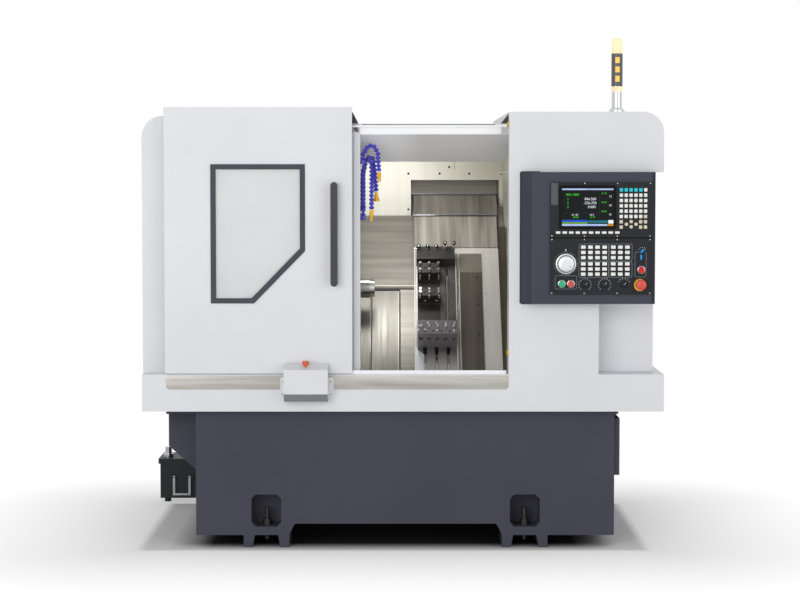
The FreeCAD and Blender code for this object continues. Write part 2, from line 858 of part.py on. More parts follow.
def saddle():
    piece = Piece("saddle", slanted=True)
    base, top = -s.saddle_base, -s.saddle_top
    piece.box((saddle_left, saddle_right), (s.slide_low, s.top_low + 104), (base, top))
    for row in (s.lower_rail, s.upper_rail):
        half = s.rail_width / 2
        for left in (saddle_left + 40, saddle_right - 140):
            piece.box((left, left + 100), (row - half - 18, row + half + 18), (base - 34, base + 1))
        piece.box((saddle_left, saddle_right), (row - half - s.clearance, row + half + s.clearance),
                  (base - 35, s.rail_height - s.bed_sink + s.clearance), cut=True)
    for row in x_rail_rows:
        piece.box((row - 10, row + 10), (s.slide_low, s.slide_high + 120), (top - 1, top + s.x_rail_height))


def rear_shield():
    piece = Piece("rear_shield")
    bed_up = (s.shield_y - s.table_y - s.bed_sink * sine) / cosine
    low, high = bed_z(bed_up, -s.bed_sink) + s.shield_gap, s.notch_top - 68
    opening_top = low + s.shield_opening
    frame_left, frame_right = s.carriage_left - 39, s.carriage_right + 39
    piece.box((left_end, s.shield_right), (s.shield_y, s.shield_y + 2), (low, high))
    piece.box((frame_left, frame_right), (s.shield_y - 3, s.shield_y + 1), (low + 58, opening_top + 42))
    piece.box(
        (saddle_left - 2, saddle_right + 2),
        (s.shield_y - 4, s.shield_y + 3),
        (low - 1, opening_top), cut=True)


def carriage_covers():
    piece = Piece("carriage_covers", slanted=True)
    top = -s.saddle_top
    plate = -s.slide_base - 5
    thin = s.cover_sheet
    left, right = s.carriage_left, s.carriage_right + 2
    piece.box((left - s.side_plate, left), (cover_low, cover_high), (plate - thin, plate))
    piece.box((left - 3, left), (cover_low, cover_high), (top, plate))
    room = s.shield_y - s.sheet - s.clearance - s.table_y
    right_end = (room - (thin - plate) * sine) / cosine
    piece.box((right, s.shield_right), (cover_low, right_end), (plate - thin, plate))
    piece.box((right, right + 3), (cover_low, right_end), (top, plate))
    upper_end = (room - 72 * sine) / cosine
    piece.box((left_end, left), (lip_up, upper_end), (-72, -70))
    piece.box((left - 3, left), (lip_up, upper_end), (top, -70))
    piece.box((left_end, left), (lip_up - 2, lip_up), (-72, -50))
    piece.rod("x", lip_up, -50, (left_end, left), 15)
    for near, far in ((saddle_left, saddle_left + 7), (saddle_right - 7, saddle_right)):
        piece.box((near, far), (s.top_low + 64, s.top_low + 104), (top, top_top - 1))
    piece.box((saddle_left, saddle_right), (s.top_low, s.top_low + 134), (top_top - thin, top_top))
    piece.box((saddle_left, saddle_right), (s.top_low, s.top_low + 3),
              (middle_top + s.clearance, top_top - 1))


def z_cover_middle():
    piece = Piece("z_cover_middle", slanted=True)
    top = -s.slide_base - 5 - s.cover_sheet - s.clearance
    left = s.carriage_left - s.side_plate
    piece.box((left - 134, left + 13), (cover_low, cover_high), (top - s.cover_sheet, top))


def z_cover_left():
    piece = Piece("z_cover_left", slanted=True)
    top = -s.slide_base - 5 - 2 * s.cover_sheet - 2 * s.clearance
    piece.box((left_end, s.carriage_left - 173), (cover_low, cover_high), (top - s.cover_sheet, top))
    for up in (cover_low + 60, cover_high - 100):
        piece.box((left_end, left_end + 12), (up, up + 40), (bed_face, top - 1))


saddle()
rear_shield()
carriage_covers()
z_cover_middle()
z_cover_left()

# ---------------------------------------------------------------- cross slide
slide_face = -s.slide_top
table_top = 0
slots = [s.table_left + 28 + 46.5 * k for k in range(3)]
# left, right, low and high edge of each tool block on the table, and its height
drill_block = (s.table_left - 2, s.table_right + 1, 137, 208, 86)
lower_block = (s.table_left, s.table_left + 92, 371, 407, s.block_height)
upper_block = (s.table_left, s.table_left + 92, 496, 550, s.block_height)
top_block = (s.table_left - 4, s.table_right - 2, 576, 646, s.block_height - 4)
blocks = [drill_block, lower_block, upper_block, top_block]
drill_spots = [s.table_left + 12 + 32.5 * k for k in range(5)]
tool_spots = [s.table_left + 11 + 36.7 * k for k in range(3)]
eye_spots = [s.table_left + 6 + 36 * k for k in range(5)]


def slide_plate():
    piece = Piece("slide_plate", slanted=True)
    piece.box((s.carriage_left, s.carriage_right), (s.slide_low, s.slide_high), (-s.slide_base, slide_face))
    for row in x_rail_rows:
        for up in (s.slide_low + 60, s.slide_high - 180):
            piece.box(
                (row - 24, row + 24),
                (up, up + 90),
                (-s.saddle_top + s.x_runner_gap, -s.slide_base + 1))
        piece.box(
            (row - 10 - s.clearance, row + 10 + s.clearance),
            (s.slide_low - 1, s.slide_high + 1),
            (-s.saddle_top, -s.saddle_top + s.x_rail_height + s.clearance), cut=True)


def gang_table():
    piece = Piece("gang_table", slanted=True)
    left, right = s.table_left, s.table_right
    low, high = s.slide_low, top_block[3]
    shoulder = drill_block[2]
    piece.prism("z", [
        (left + 24, low),
        (right, low),
        (right, high),
        (left, high),
        (left, shoulder),
        (left + 24, shoulder - 24),
    ], (slide_face, table_top))
    for slot in slots:
        piece.box(
            (slot - s.slot_width / 2, slot + s.slot_width / 2),
            (low - 1, top_block[2] - 1),
            (-s.slot_depth, 1), cut=True)


def tool_blocks():
    piece = Piece("tool_blocks", slanted=True)
    for left, right, low, high, tall in blocks:
        piece.box((left, right), (low, high), (table_top, tall))
    for _, _, low, high, tall in (lower_block, upper_block):
        for middle in tool_spots:
            piece.box((middle - 8, middle + 8), (low - 1, high + 1), (tall - 32, tall - 16), cut=True)
    for middle in drill_spots:
        piece.rod("y", middle, 52, (drill_block[2] - 1, drill_block[3] + 1), 9, cut=True)


def clamp_screws():
    piece = Piece("clamp_screws", slanted=True)
    for _, _, low, high, tall in (lower_block, upper_block):
        for middle in tool_spots:
            for up in (low + 10, high - 10):
                piece.rod("z", middle, up, (tall, tall + 14), 5)
    for middle in drill_spots:
        piece.rod("z", middle, drill_block[2] + 35, (drill_block[4], drill_block[4] + 12), 6)
    for middle in eye_spots:
        piece.rod("z", middle, top_block[3] - 12, (top_block[4], top_block[4] + 14), 6)


def slide_covers():
    piece = Piece("slide_covers", slanted=True)
    left, right = s.table_right + 17, s.carriage_right
    low, high = s.slide_low, s.slide_high - 31
    piece.box((left, left + 94), (low, high), (slide_face, slide_face + 6))
    piece.box((left + 96, right), (low, high), (slide_face, slide_face + 10))
    piece.box((s.table_right + 2, right), (high + 2, s.slide_high), (slide_face, slide_face + 4))
    piece.box((s.table_right + 1, s.table_right + 4), (low, high), (slide_face, slide_face + 20))


def x_cover_low():
    piece = Piece("x_cover_low", slanted=True)
    left, right = s.carriage_left + 1, s.carriage_right - 1
    low = s.slide_high
    piece.box((left, right), (low, low + s.cover_span), (low_cover_top - s.cover_sheet, low_cover_top))
    piece.box((left, right), (low, low + 3), (-s.slide_base, low_cover_top))


def x_cover_middle():
    piece = Piece("x_cover_middle", slanted=True)
    left, right = s.carriage_left - 1, s.carriage_right + 3
    low = s.middle_low
    piece.box((left, right), (low, low + 171), (middle_top - s.cover_sheet, middle_top))
    piece.box((left, right), (low, low + 3), (low_cover_top + s.clearance, middle_top))


slide_plate()
gang_table()
tool_blocks()
clamp_screws()
slide_covers()
x_cover_low()
x_cover_middle()

# ---------------------------------------------------------------- controls
button_stem = 5
knob_stem = 4
estop_place = (s.unit_left + 341, s.operator_low + 37)
start_place = (s.unit_left + 43, s.operator_low + 40)
stop_place = (s.unit_left + 78, s.operator_low + 40)
power_place = (s.unit_left + 343, s.operator_low + 93)
wheel_place = (s.unit_left + 58, s.operator_low + 116)
selector_places = {
    f"selector_{name}": (s.unit_left + across_unit, s.operator_low + 37)
    for name, across_unit in (("left", 131), ("middle", 205), ("right", 278))}
pressed = {
    "estop": estop_place,
    "start_button": start_place,
    "stop_button": stop_place,
    "power_button": power_place,
}
hole_back = panel_front + 24


def control_box():
    piece = Piece("control_box")
    left, right = s.panel_left, s.panel_right
    piece.prism("z", [(left, 0), (left + 38, panel_front), (right, panel_front), (right, 0)],
                (s.panel_low, s.panel_high))
    for x, z in pressed.values():
        piece.rod("y", x, z, (panel_front - 1, hole_back), button_stem + s.clearance, cut=True)
    for x, z in [wheel_place, *selector_places.values()]:
        piece.rod("y", x, z, (panel_front - 1, hole_back), knob_stem + s.clearance, cut=True)


def panel_units():
    # the display above and the operator's unit below it
    piece = Piece("panel_units")
    left, right = s.unit_left, s.unit_right
    for low, high in ((s.display_low, s.display_high), (s.operator_low, s.operator_high)):
        piece.box((left, right), (unit_front, panel_front), (low, high))
    piece.fillet(4, runs("y", x=[left, right]))
    piece.box((left + 40, left + 240), (unit_front - 1, unit_front + 3),
              (s.display_low + 39, s.display_high - 20), cut=True)
    for x, z in pressed.values():
        piece.rod("y", x, z, (unit_front - 1, panel_front + 1), button_stem + s.clearance, cut=True)
    for x, z in [wheel_place, *selector_places.values()]:
        piece.rod("y", x, z, (unit_front - 1, panel_front + 1), knob_stem + s.clearance, cut=True)


def panel_keys():
    group = doc.addObject("Part::Compound", "Keys")
    group.Label = "panel_keys"
    keys = []
    for block in key_blocks():
        left, top, columns, rows, pitch_x, pitch_z, width, tall, skipped = block
        for row in range(rows):
            for column in range(columns):
                if (row, column) in skipped:
                    continue
                key = doc.addObject("Part::Box", "Key")
                bind(key, "Length", Length(width, str(width)))
                bind(key, "Width", s.key_reach)
                bind(key, "Height", Length(tall, str(tall)))
                bind(key, "Placement.Base.x", left + (column * pitch_x - width / 2))
                bind(key, "Placement.Base.y", unit_front - s.key_reach)
                bind(key, "Placement.Base.z", top - (row * pitch_z + tall / 2))
                keys.append(key)
    group.Links = keys
    bind(group, "Placement.Base.x", frame_x)
    bind(group, "Placement.Base.y", frame_y)
    parts["panel_keys"] = group


def key_blocks():
    # left and top key centre from the unit's corner, counts, pitches and key sizes
    left = s.unit_left
    display, operator = s.display_high, s.operator_high
    return [
        (left + 266.2, display - 29.3, 6, 8, 18.3, 20, 12.2, 12.8, [(6, 1), (7, 1)]),
        (left + 28.6, display - 190, 10, 1, 24.8, 20, 17, 9, []),
        (left + 124, operator - 33, 4, 3, 26.8, 19.8, 17.5, 12.5, []),
        (left + 237, operator - 33, 3, 3, 26.6, 19.8, 17.5, 12.5, []),
        (left + 124, operator - 96, 4, 3, 26.8, 19.4, 17.5, 12.5, []),
        (left + 237, operator - 96, 3, 3, 26.6, 19.4, 17.5, 12.5, []),
        (left + 342, operator - 68, 1, 1, 20, 20, 13, 13, []),
    ]


def button(name, place, radius, reach, rim=0):
    # a cap in front of the unit and a stem that goes into it
    piece = Piece(name)
    x, z = place
    travel = 4 + s.clearance
    front = unit_front - reach
    piece.rod("y", x, z, (front, unit_front - travel), radius)
    if rim:
        face = number(front)
        piece.fillet(rim, lambda edge: abs(edge.BoundBox.YMin - face) < 0.01 and edge.Length > radius)
    piece.rod("y", x, z, (unit_front - travel - 1, hole_back - travel), button_stem)


def handwheel():
    piece = Piece("handwheel")
    x, z = wheel_place
    piece.rod("y", x, z, (unit_front - 12, unit_front - s.clearance), 39)
    piece.cone("y", x, z, (unit_front - 26, unit_front - 11), (28, 30))
    piece.rod("y", x, z, (unit_front - 1, hole_back - 1), knob_stem)
    piece.rod("y", x, z + 21, (unit_front - 27, unit_front - 20), 6, cut=True)


def selector(name, place):
    piece = Piece(name)
    x, z = place
    piece.rod("y", x, z, (unit_front - 9, unit_front - s.clearance), 11)
    piece.box((x - 3.5, x + 3.5), (unit_front - 16, unit_front - 8), (z - 10.5, z + 10.5))
    piece.rod("y", x, z, (unit_front - 1, hole_back - 1), knob_stem)


def button_box():
    piece = Piece("button_box")
    left, right = s.box_left, s.box_right
    back, front = -2, -s.box_reach
    piece.prism("x", [(back, s.box_low), (front + 22, s.box_low), (front, s.box_low + 30),
                      (front, s.box_high - 20), (back, s.box_high)], (left, right))
    for near, far in ((left - 16, left + 1), (right - 1, right + 21)):
        piece.box((near, far), (-6, back), (s.box_low + 10, s.box_low + 88))
    x, middle = left + 82, (back + front) / 2
    piece.rod("z", x, middle, (s.box_high - 40, s.box_high + 1), button_stem + s.clearance, cut=True)


def box_button():
    piece = Piece("box_button")
    x, middle = s.box_left + 82, (-2 - s.box_reach) / 2
    piece.rod("z", x, middle, (s.box_high - 3, s.box_high + 12), 12.5)
    piece.fillet(2, lambda edge: edge.BoundBox.ZMin > number(s.box_high) + 11.9 and edge.Length > 40)
    piece.rod("z", x, middle, (s.box_high - 34, s.box_high - 2), button_stem)


control_box()
panel_units()
panel_keys()
button("estop", estop_place, 20, s.knob_reach, 5)
button("start_button", start_place, 13, 11, 1)
button("stop_button", stop_place, 13, 11, 1)
button("power_button", power_place, 12, 11, 1)
handwheel()
for name, place in selector_places.items():
    selector(name, place)
button_box()
box_button()

# ---------------------------------------------------------------- tower light
pole_low = s.hood_top
pole_high = pole_low + s.tower_height * 0.36
sleeve_high = pole_high + s.tower_height * 0.434
dome_high = pole_low + s.tower_height


def tower_pole():
    piece = Piece("tower_pole")
    x, y, radius = s.tower_x, s.tower_y, s.tower_radius
    piece.rod("z", x, y, (pole_low, pole_low + 14), radius + 9)
    piece.cone("z", x, y, (pole_low + 13, pole_low + 24), (radius + 8, radius - 2))
    piece.rod("z", x, y, (pole_low + 23, pole_high - 18), radius - 2)
    piece.rod("z", x, y, (pole_high - 19, pole_high), radius)


def tower_sleeve():
    piece = Piece("tower_sleeve")
    piece.rod("z", s.tower_x, s.tower_y, (pole_high, sleeve_high), s.tower_radius)
    for k in range(3):
        middle = sleeve_high - 26 - 36 * k
        front = s.tower_y - s.tower_radius
        piece.box(
            (s.tower_x - 9, s.tower_x + 9),
            (front - 1, front + 3),
            (middle - 12, middle + 12), cut=True)


def tower_dome():
    piece = Piece("tower_dome")
    piece.rod("z", s.tower_x, s.tower_y, (sleeve_high, dome_high), s.tower_radius - 1)
    piece.fillet(10, lambda edge: edge.BoundBox.ZMin > number(dome_high) - 0.01)


tower_pole()
tower_sleeve()
tower_dome()

# ---------------------------------------------------------------- coolant
tank_right = s.base_left - s.lid_lip - s.clearance
tank_back = s.tank_front + s.tank_depth
tank_top = s.tank_bottom + s.tank_height
lid_top = tank_top + s.lid_height
handle_high = s.tank_bottom + 92
handle_left = s.tank_left + 50
handle_right = handle_left + 90
bail_y = s.tank_front - 10


def coolant_tank():
    piece = Piece("coolant_tank")
    piece.box((s.tank_left, tank_right), (s.tank_front, tank_back), (s.tank_bottom, tank_top))
    piece.box((s.tank_left - s.lid_lip, tank_right + s.lid_lip), (s.tank_front - s.lid_lip, tank_back),
              (tank_top, lid_top))
    for x in (s.tank_left + 30, tank_right - 30):
        for y in (s.tank_front + 30, tank_back - 30):
            piece.rod("z", x, y, (0, s.tank_bottom + 1), 14)
    for x, side in ((handle_left, 1), (handle_right, -1)):
        piece.box((x - 5, x + 5), (s.tank_front - 15, s.tank_front), (handle_high - 6, handle_high + 6))
        pin = (x + 4, x + 20) if side > 0 else (x - 20, x - 4)
        piece.rod("x", bail_y, handle_high, pin, 4)


def tank_handle():
    piece = Piece("tank_handle")
    front, back = bail_y - 4, bail_y + 4
    low = handle_high - 70
    left, right = handle_left + 6, handle_right - 6
    for near, far in ((left, left + 10), (right - 10, right)):
        piece.box((near, far), (front, back), (low, handle_high + 7))
        piece.rod("x", bail_y, handle_high, (near - 1, far + 1), 4 + s.clearance, cut=True)
    piece.box((left, right), (front, back), (low - 8, low + 1))


def tank_fitting():
    piece = Piece("tank_fitting")
    x, y = s.tank_left + 31, s.tank_front + 55
    piece.rod("z", x, y, (lid_top, lid_top + 16), 22)
    piece.rod("z", x, y, (lid_top + 15, lid_top + 46), 14)


def hose_points(points, bend):
    # straight runs joined by arcs, as points at the hose's segment pitch
    corners = [FreeCAD.Vector(*point) for point in points]
    edges = []
    start = corners[0]
    for before, corner, after in zip(corners, corners[1:], corners[2:]):
        inward = (before - corner).normalize()
        outward = (after - corner).normalize()
        half = inward.getAngle(outward) / 2
        reach = bend / math.tan(half)
        one, two = corner + inward * reach, corner + outward * reach
        middle = corner + (inward + outward).normalize() * (bend / math.sin(half) - bend)
        edges.append(Part.LineSegment(start, one).toShape())
        edges.append(Part.Arc(one, middle, two).toShape())
        start = two
    edges.append(Part.LineSegment(start, corners[-1]).toShape())
    wire = Part.Wire(edges)
    count = round(wire.Length / number(s.hose_pitch))
    return wire.discretize(Number=2 * count + 1)


def ring(centre, along, radius):
    return Part.Wire(Part.makeCircle(radius, centre, along))


def hose(points, bend):
    # each segment swells from its neck to its socket's rim
    spots = hose_points(points, bend)
    radius = number(s.hose_radius)
    rings = []
    for index, spot in enumerate(spots):
        ahead = spots[min(index + 1, len(spots) - 1)]
        behind = spots[max(index - 1, 0)]
        swell = radius if index % 2 else radius * 0.68
        rings.append(ring(spot, ahead - behind, swell))
    return Part.makeLoft(rings, True, True)


def nozzle(tip, along, radii, length):
    # a tapering outlet that takes over from the last segment
    along = along.normalize()
    rings = [ring(tip + along * length * share, along, radius) for share, radius in radii]
    return Part.makeLoft(rings, True, True)


# each point is given from the jamb, in depth, and down from the notch's roof
hose_side = number(s.doorway_left + s.clearance + s.hose_radius)
hose_roof = number(s.notch_top)
front_run = [(0, 96, 139), (0, 96, 118), (20, 96, 84), (42, 96, 84), (57, 96, 112), (61.6, 96, 185)]
middle_run = [(0, 119, 354), (0, 119, 190), (7, 119, 141), (31, 119, 141), (34, 119, 190), (32.4, 119, 331)]
rear_run = [(0, 142, 312), (0, 142, 190), (14, 142, 128), (38, 142, 128), (46, 142, 180), (50.3, 142, 262)]
hose_runs = [(front_run, 18), (middle_run, 13), (rear_run, 14)]
hose_routes = [
    ([(hose_side + x, y, hose_roof - down) for x, y, down in run], bend)
    for run, bend in hose_runs]
nozzle_shapes = [
    ([(0, 7), (0.25, 8), (1, 4)], 38),
    ([(0, 7), (0.3, 8), (1, 4)], 44),
    ([(0, 7), (0.3, 6), (1, 13)], 36),
]


def coolant_hoses():
    solids, nozzles = [], []
    for (points, bend), (radii, length) in zip(hose_routes, nozzle_shapes):
        solids.append(hose(points, bend))
        foot = FreeCAD.Vector(*points[0])
        solids.append(Part.makeCylinder(number(s.hose_radius), 16, foot, FreeCAD.Vector(0, 0, -1)))
        last, previous = FreeCAD.Vector(*points[-1]), FreeCAD.Vector(*points[-2])
        nozzles.append(nozzle(last, last - previous, radii, length))
    for name, shapes in (("coolant_hoses", solids), ("coolant_nozzles", nozzles)):
        thing = doc.addObject("Part::Feature", name)
        thing.Label = name
        thing.Shape = Part.makeCompound(shapes)
        thing.Placement.Base = FreeCAD.Vector(number(frame_x), number(frame_y), 0)
        parts[name] = thing


coolant_tank()
tank_handle()
tank_fitting()
coolant_hoses()

# ---------------------------------------------------------------- export
doc.recompute()
for thing in doc.Objects:
    if "Invalid" in thing.State or "Error" in thing.State:
        raise RuntimeError(f"{thing.Label}: {thing.State}")
for name, thing in parts.items():
    if thing.Shape.isNull() or not thing.Shape.isValid():
        raise RuntimeError(f"{name}: no valid shape")
os.makedirs("parts", exist_ok=True)
overall = FreeCAD.BoundBox()
for name, thing in parts.items():
    overall.add(thing.Shape.BoundBox)
    thing.Shape.exportStep(f"parts/{name}.step")
print(len(parts), "pieces; box", overall)
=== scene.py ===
import math

import bmesh
import bpy
import numpy as np
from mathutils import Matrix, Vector


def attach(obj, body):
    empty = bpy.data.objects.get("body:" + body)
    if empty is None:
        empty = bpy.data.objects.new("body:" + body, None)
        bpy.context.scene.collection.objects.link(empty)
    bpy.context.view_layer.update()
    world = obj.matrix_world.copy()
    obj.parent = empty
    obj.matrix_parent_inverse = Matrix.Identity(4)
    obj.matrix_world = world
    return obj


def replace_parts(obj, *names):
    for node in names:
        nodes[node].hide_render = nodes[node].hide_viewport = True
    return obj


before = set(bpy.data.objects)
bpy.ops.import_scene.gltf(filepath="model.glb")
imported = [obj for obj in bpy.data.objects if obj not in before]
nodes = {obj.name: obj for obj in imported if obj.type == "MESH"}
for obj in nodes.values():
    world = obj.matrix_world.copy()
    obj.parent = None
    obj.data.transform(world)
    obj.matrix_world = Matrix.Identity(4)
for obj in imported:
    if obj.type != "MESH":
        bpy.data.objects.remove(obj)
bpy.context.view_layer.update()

scene = bpy.context.scene
scene.view_settings.view_transform = "Standard"

# Sizes below are millimetres from the machine's own datum: x from the middle of the
# enclosure, y from its front, z from the floor.
datum = {"x": 37.0, "y": -653.5}
slope = {"y": 250.0, "z": 650.0, "angle": math.radians(45)}
unitFront = -63.0


def toRow(points):  # machine millimetres to the row's metres
    return (np.asarray(points, float) + (datum["x"], datum["y"], 0.0)) / 1000.0


def onSlope(points):  # (x, up the slope, out of the slope) to machine millimetres
    x, up, out = np.moveaxis(np.asarray(points, float), -1, 0)
    sine, cosine = math.sin(slope["angle"]), math.cos(slope["angle"])
    return np.stack([x, slope["y"] + up * cosine - out * sine, slope["z"] + up * sine + out * cosine], -1)


def onFront(depth):  # (x, z, height) drawn on an upright face at y = depth, height towards the front
    return lambda points: np.stack([points[..., 0], depth - points[..., 2], points[..., 1]], -1)


def onTop(height):  # (x, y, height) drawn on a level face at z = height
    return lambda points: points + (0.0, 0.0, height)


print("camera and light")
cameraView = {"location": (0.0256, -8.6535, 1.418), "pitch": 3.3, "lens": 94.73, "sensor": 36.0}
camera = bpy.data.objects.new("camera", bpy.data.cameras.new("camera"))
scene.collection.objects.link(camera)
camera.location = cameraView["location"]
camera.rotation_euler = (math.radians(90 - cameraView["pitch"]), 0, 0)
camera.data.lens = cameraView["lens"]
camera.data.sensor_width = cameraView["sensor"]
camera.data.clip_start, camera.data.clip_end = 0.1, 60
scene.camera = camera


def toLinear(code):  # sRGB hex to linear red, green, blue, alpha
    tones = np.array([int(code[k:k + 2], 16) for k in (1, 3, 5)]) / 255
    tones = np.where(tones <= 0.04045, tones / 12.92, ((tones + 0.055) / 1.055) ** 2.4)
    return (*[float(tone) for tone in tones], 1.0)


def addNode(tree, kind, settings=None, links=None):  # one node, its sockets or attributes, and what feeds it
    node = tree.nodes.new("ShaderNode" + kind)
    for name, value in (settings or {}).items():
        if isinstance(name, int) or name in node.inputs:
            node.inputs[name].default_value = value
        else:
            setattr(node, name, value)
    for name, source in (links or {}).items():
        tree.links.new(source, node.inputs[name])
    return node


lamps = {
    "sky": {"strength": 0.52, "colour": "#FBFCFF"},
    "key": {"watts": 240, "size": 5.0, "location": (-3.0, -8.4, 2.2), "aim": (0.0, 0.0, 0.9)},
    "fill": {"watts": 72, "size": 4.0, "location": (4.6, -5.4, 1.9), "aim": (0.2, 0.0, 1.0)},
    "work": {"watts": 2.65, "size": 0.3, "location": (-0.02, -0.22, 1.47), "aim": (-0.12, 0.33, 1.22)},
}
world = bpy.data.worlds.new("studio")
scene.world = world
world.use_nodes = True
tree = world.node_tree
tree.nodes.clear()
rays = addNode(tree, "LightPath")
seen = addNode(
    tree, "Math", {"operation": "MAXIMUM"}, {0: rays.outputs["Is Camera Ray"], 1: rays.outputs["Is Glossy Ray"]})
through = addNode(
    tree, "Math", {"operation": "MAXIMUM"}, {0: seen.outputs[0], 1: rays.outputs["Is Transmission Ray"]})
lightSky = addNode(
    tree, "Background", {"Color": toLinear(lamps["sky"]["colour"]), "Strength": lamps["sky"]["strength"]})
whiteSky = addNode(tree, "Background", {"Color": (1, 1, 1, 1), "Strength": 1.0})
mixSky = addNode(tree, "MixShader", links={0: through.outputs[0], 1: lightSky.outputs[0], 2: whiteSky.outputs[0]})
addNode(tree, "OutputWorld", links={"Surface": mixSky.outputs[0]})
for name in ("key", "fill", "work"):
    lamp = lamps[name]
    light = bpy.data.objects.new("lamp_" + name, bpy.data.lights.new("lamp_" + name, "AREA"))
    light.data.energy, light.data.size = lamp["watts"], lamp["size"]
    light.location = lamp["location"]
    light.rotation_euler = (Vector(lamp["aim"]) - Vector(lamp["location"])).to_track_quat("-Z", "Y").to_euler()
    scene.collection.objects.link(light)

print("materials")
finishes = {}


def newMaterial(name, look):  # a Principled material, its uniform values straight on the sockets
    material = bpy.data.materials.new(name)
    material.use_nodes = True
    tree = material.node_tree
    shader = tree.nodes["Principled BSDF"]
    for socket, value in look.items():
        shader.inputs[socket].default_value = value
    finishes[name] = material
    return tree, shader


def wired(tree, shader, tone, gloss, texture, depth, reach=0.0003):
    # tone, gloss and a bump from a texture, led to the shader; reach is the bump's height in metres
    bump = addNode(tree, "Bump", {"Strength": depth, "Distance": reach}, {"Height": texture.outputs["Fac"]})
    for node, socket in ((tone, "Base Color"), (gloss, "Roughness"), (bump, "Normal")):
        tree.links.new(node.outputs[0], shader.inputs[socket])


def millimetres(size):  # noise scale on object coordinates for a feature of this size
    return 1000.0 / size


def patternOn(tree, stretch=(1, 1, 1), turn=(0, 0, 0)):
    place = addNode(tree, "TexCoord").outputs["Object"]
    mapping = addNode(tree, "Mapping", {"Scale": stretch, "Rotation": turn}, {"Vector": place})
    return mapping.outputs[0]


def noise(tree, size, detail, where, rough=0.5):  # uneven tone or grain with features of this size in millimetres
    look = {"Scale": millimetres(size), "Detail": detail, "Roughness": rough}
    return addNode(tree, "TexNoise", look, {"Vector": where})


def mapped(tree, value, *span):  # a value carried from one range to another: from, from, to, to
    settings = dict(zip(("From Min", "From Max", "To Min", "To Max"), span))
    return addNode(tree, "MapRange", settings, {"Value": value})


def mixed(tree, first, second, share):  # two sRGB colours mixed by a share
    return addNode(tree, "MixRGB", {"Color1": toLinear(first), "Color2": toLinear(second)}, {"Fac": share})


def pastPlace(tree, tone, shade):
    # shade is (colour, from, to, axis): the surface takes that colour between two places, in metres, along an
    # axis; it stands in for the shade or light that part of the surface lies in at rest
    place = addNode(tree, "SeparateXYZ", links={0: patternOn(tree)})
    past = mapped(tree, place.outputs[shade[3]], shade[1], shade[2])
    return addNode(
        tree, "MixRGB", {"Color2": toLinear(shade[0])}, {"Fac": past.outputs[0], "Color1": tone.outputs[0]})


def paintedSteel(name, colour, worn, roughness=0.38, peel=2.2, depth=0.10, coat=0.12, specular=0.5, under=None,
                 shade=None):
    # powder coat on sheet steel: even colour, a faint orange peel, soft gloss and a little cloudiness;
    # under is a darker tone for faces that look down, which stands in for the shadow there; shade is a tone painted
    # along an axis, as in pastPlace
    tree, shader = newMaterial(name, {
        "Roughness": roughness, "IOR": 1.5, "Coat Weight": coat, "Coat Roughness": 0.25,
        "Specular IOR Level": specular})
    where = patternOn(tree)
    cloud = noise(tree, 420, 4, where, 0.6)
    ramp = mapped(tree, cloud.outputs["Fac"], 0.35, 0.7)
    tone = mixed(tree, colour, worn, ramp.outputs[0])
    if under:
        facing = addNode(tree, "SeparateXYZ", links={0: addNode(tree, "NewGeometry").outputs["Normal"]})
        down = mapped(tree, facing.outputs[2], -0.25, -0.55)
        tone = addNode(
            tree, "MixRGB", {"Color2": toLinear(under)}, {"Fac": down.outputs[0], "Color1": tone.outputs[0]})
    if shade:
        tone = pastPlace(tree, tone, shade)
    grain = noise(tree, peel, 2, where)
    gloss = mapped(tree, cloud.outputs["Fac"], 0, 1, roughness - 0.05, roughness + 0.07)
    wired(tree, shader, tone, gloss, grain, depth, 0.0004)


def brushedSteel(name, light, dark, along, roughness=0.34, line=1.6, contrast=1.0, metallic=0.85, shade=None):
    # stainless sheet brushed one way: fine lines, long soft bands across them and a broad cloudy reflection;
    # shade is another tone that the sheet takes along an axis: painted shade where it is darker, painted light where
    # it is lighter
    tree, shader = newMaterial(name, {"Metallic": metallic, "Anisotropic": 0.35})
    stretch = [millimetres(line)] * 3
    bands = [millimetres(38)] * 3
    for axis in along:
        stretch[axis], bands[axis] = millimetres(line * 120), millimetres(700)
    lines = addNode(
        tree, "TexNoise", {"Scale": 1.0, "Detail": 5, "Roughness": 0.65}, {"Vector": patternOn(tree, stretch)})
    broad = addNode(
        tree, "TexNoise", {"Scale": 1.0, "Detail": 3, "Roughness": 0.55}, {"Vector": patternOn(tree, bands)})
    both = addNode(
        tree, "Math", {"operation": "MULTIPLY_ADD", 1: 0.55}, {0: lines.outputs["Fac"], 2: broad.outputs["Fac"]})
    ramp = mapped(tree, both.outputs[0], 0.58, 0.98, 0.5 - contrast / 2, 0.5 + contrast / 2)
    tone = mixed(tree, dark, light, ramp.outputs[0])
    if shade:
        tone = pastPlace(tree, tone, shade)
    gloss = mapped(tree, lines.outputs["Fac"], 0.3, 0.7, roughness - 0.08, roughness + 0.12)
    wired(tree, shader, tone, gloss, lines, 0.12, 0.0002)


def machinedMetal(name, light, dark, roughness, metallic=1.0, grit=3.0, depth=0.15, shade=None):
    # ground, cast or plated metal: a fine grit in the gloss and a patchy tone where oil and coolant dried; shade is a
    # tone painted along an axis, as in pastPlace
    tree, shader = newMaterial(name, {"Metallic": metallic, "Roughness": roughness})
    where = patternOn(tree)
    stain = noise(tree, 70, 5, where, 0.62)
    ramp = mapped(tree, stain.outputs["Fac"], 0.3, 0.72)
    tone = mixed(tree, light, dark, ramp.outputs[0])
    if shade:
        tone = pastPlace(tree, tone, shade)
    gritty = noise(tree, grit, 3, where)
    gloss = mapped(tree, gritty.outputs["Fac"], 0, 1, roughness * 0.7, min(1.0, roughness * 1.35))
    wired(tree, shader, tone, gloss, gritty, depth)


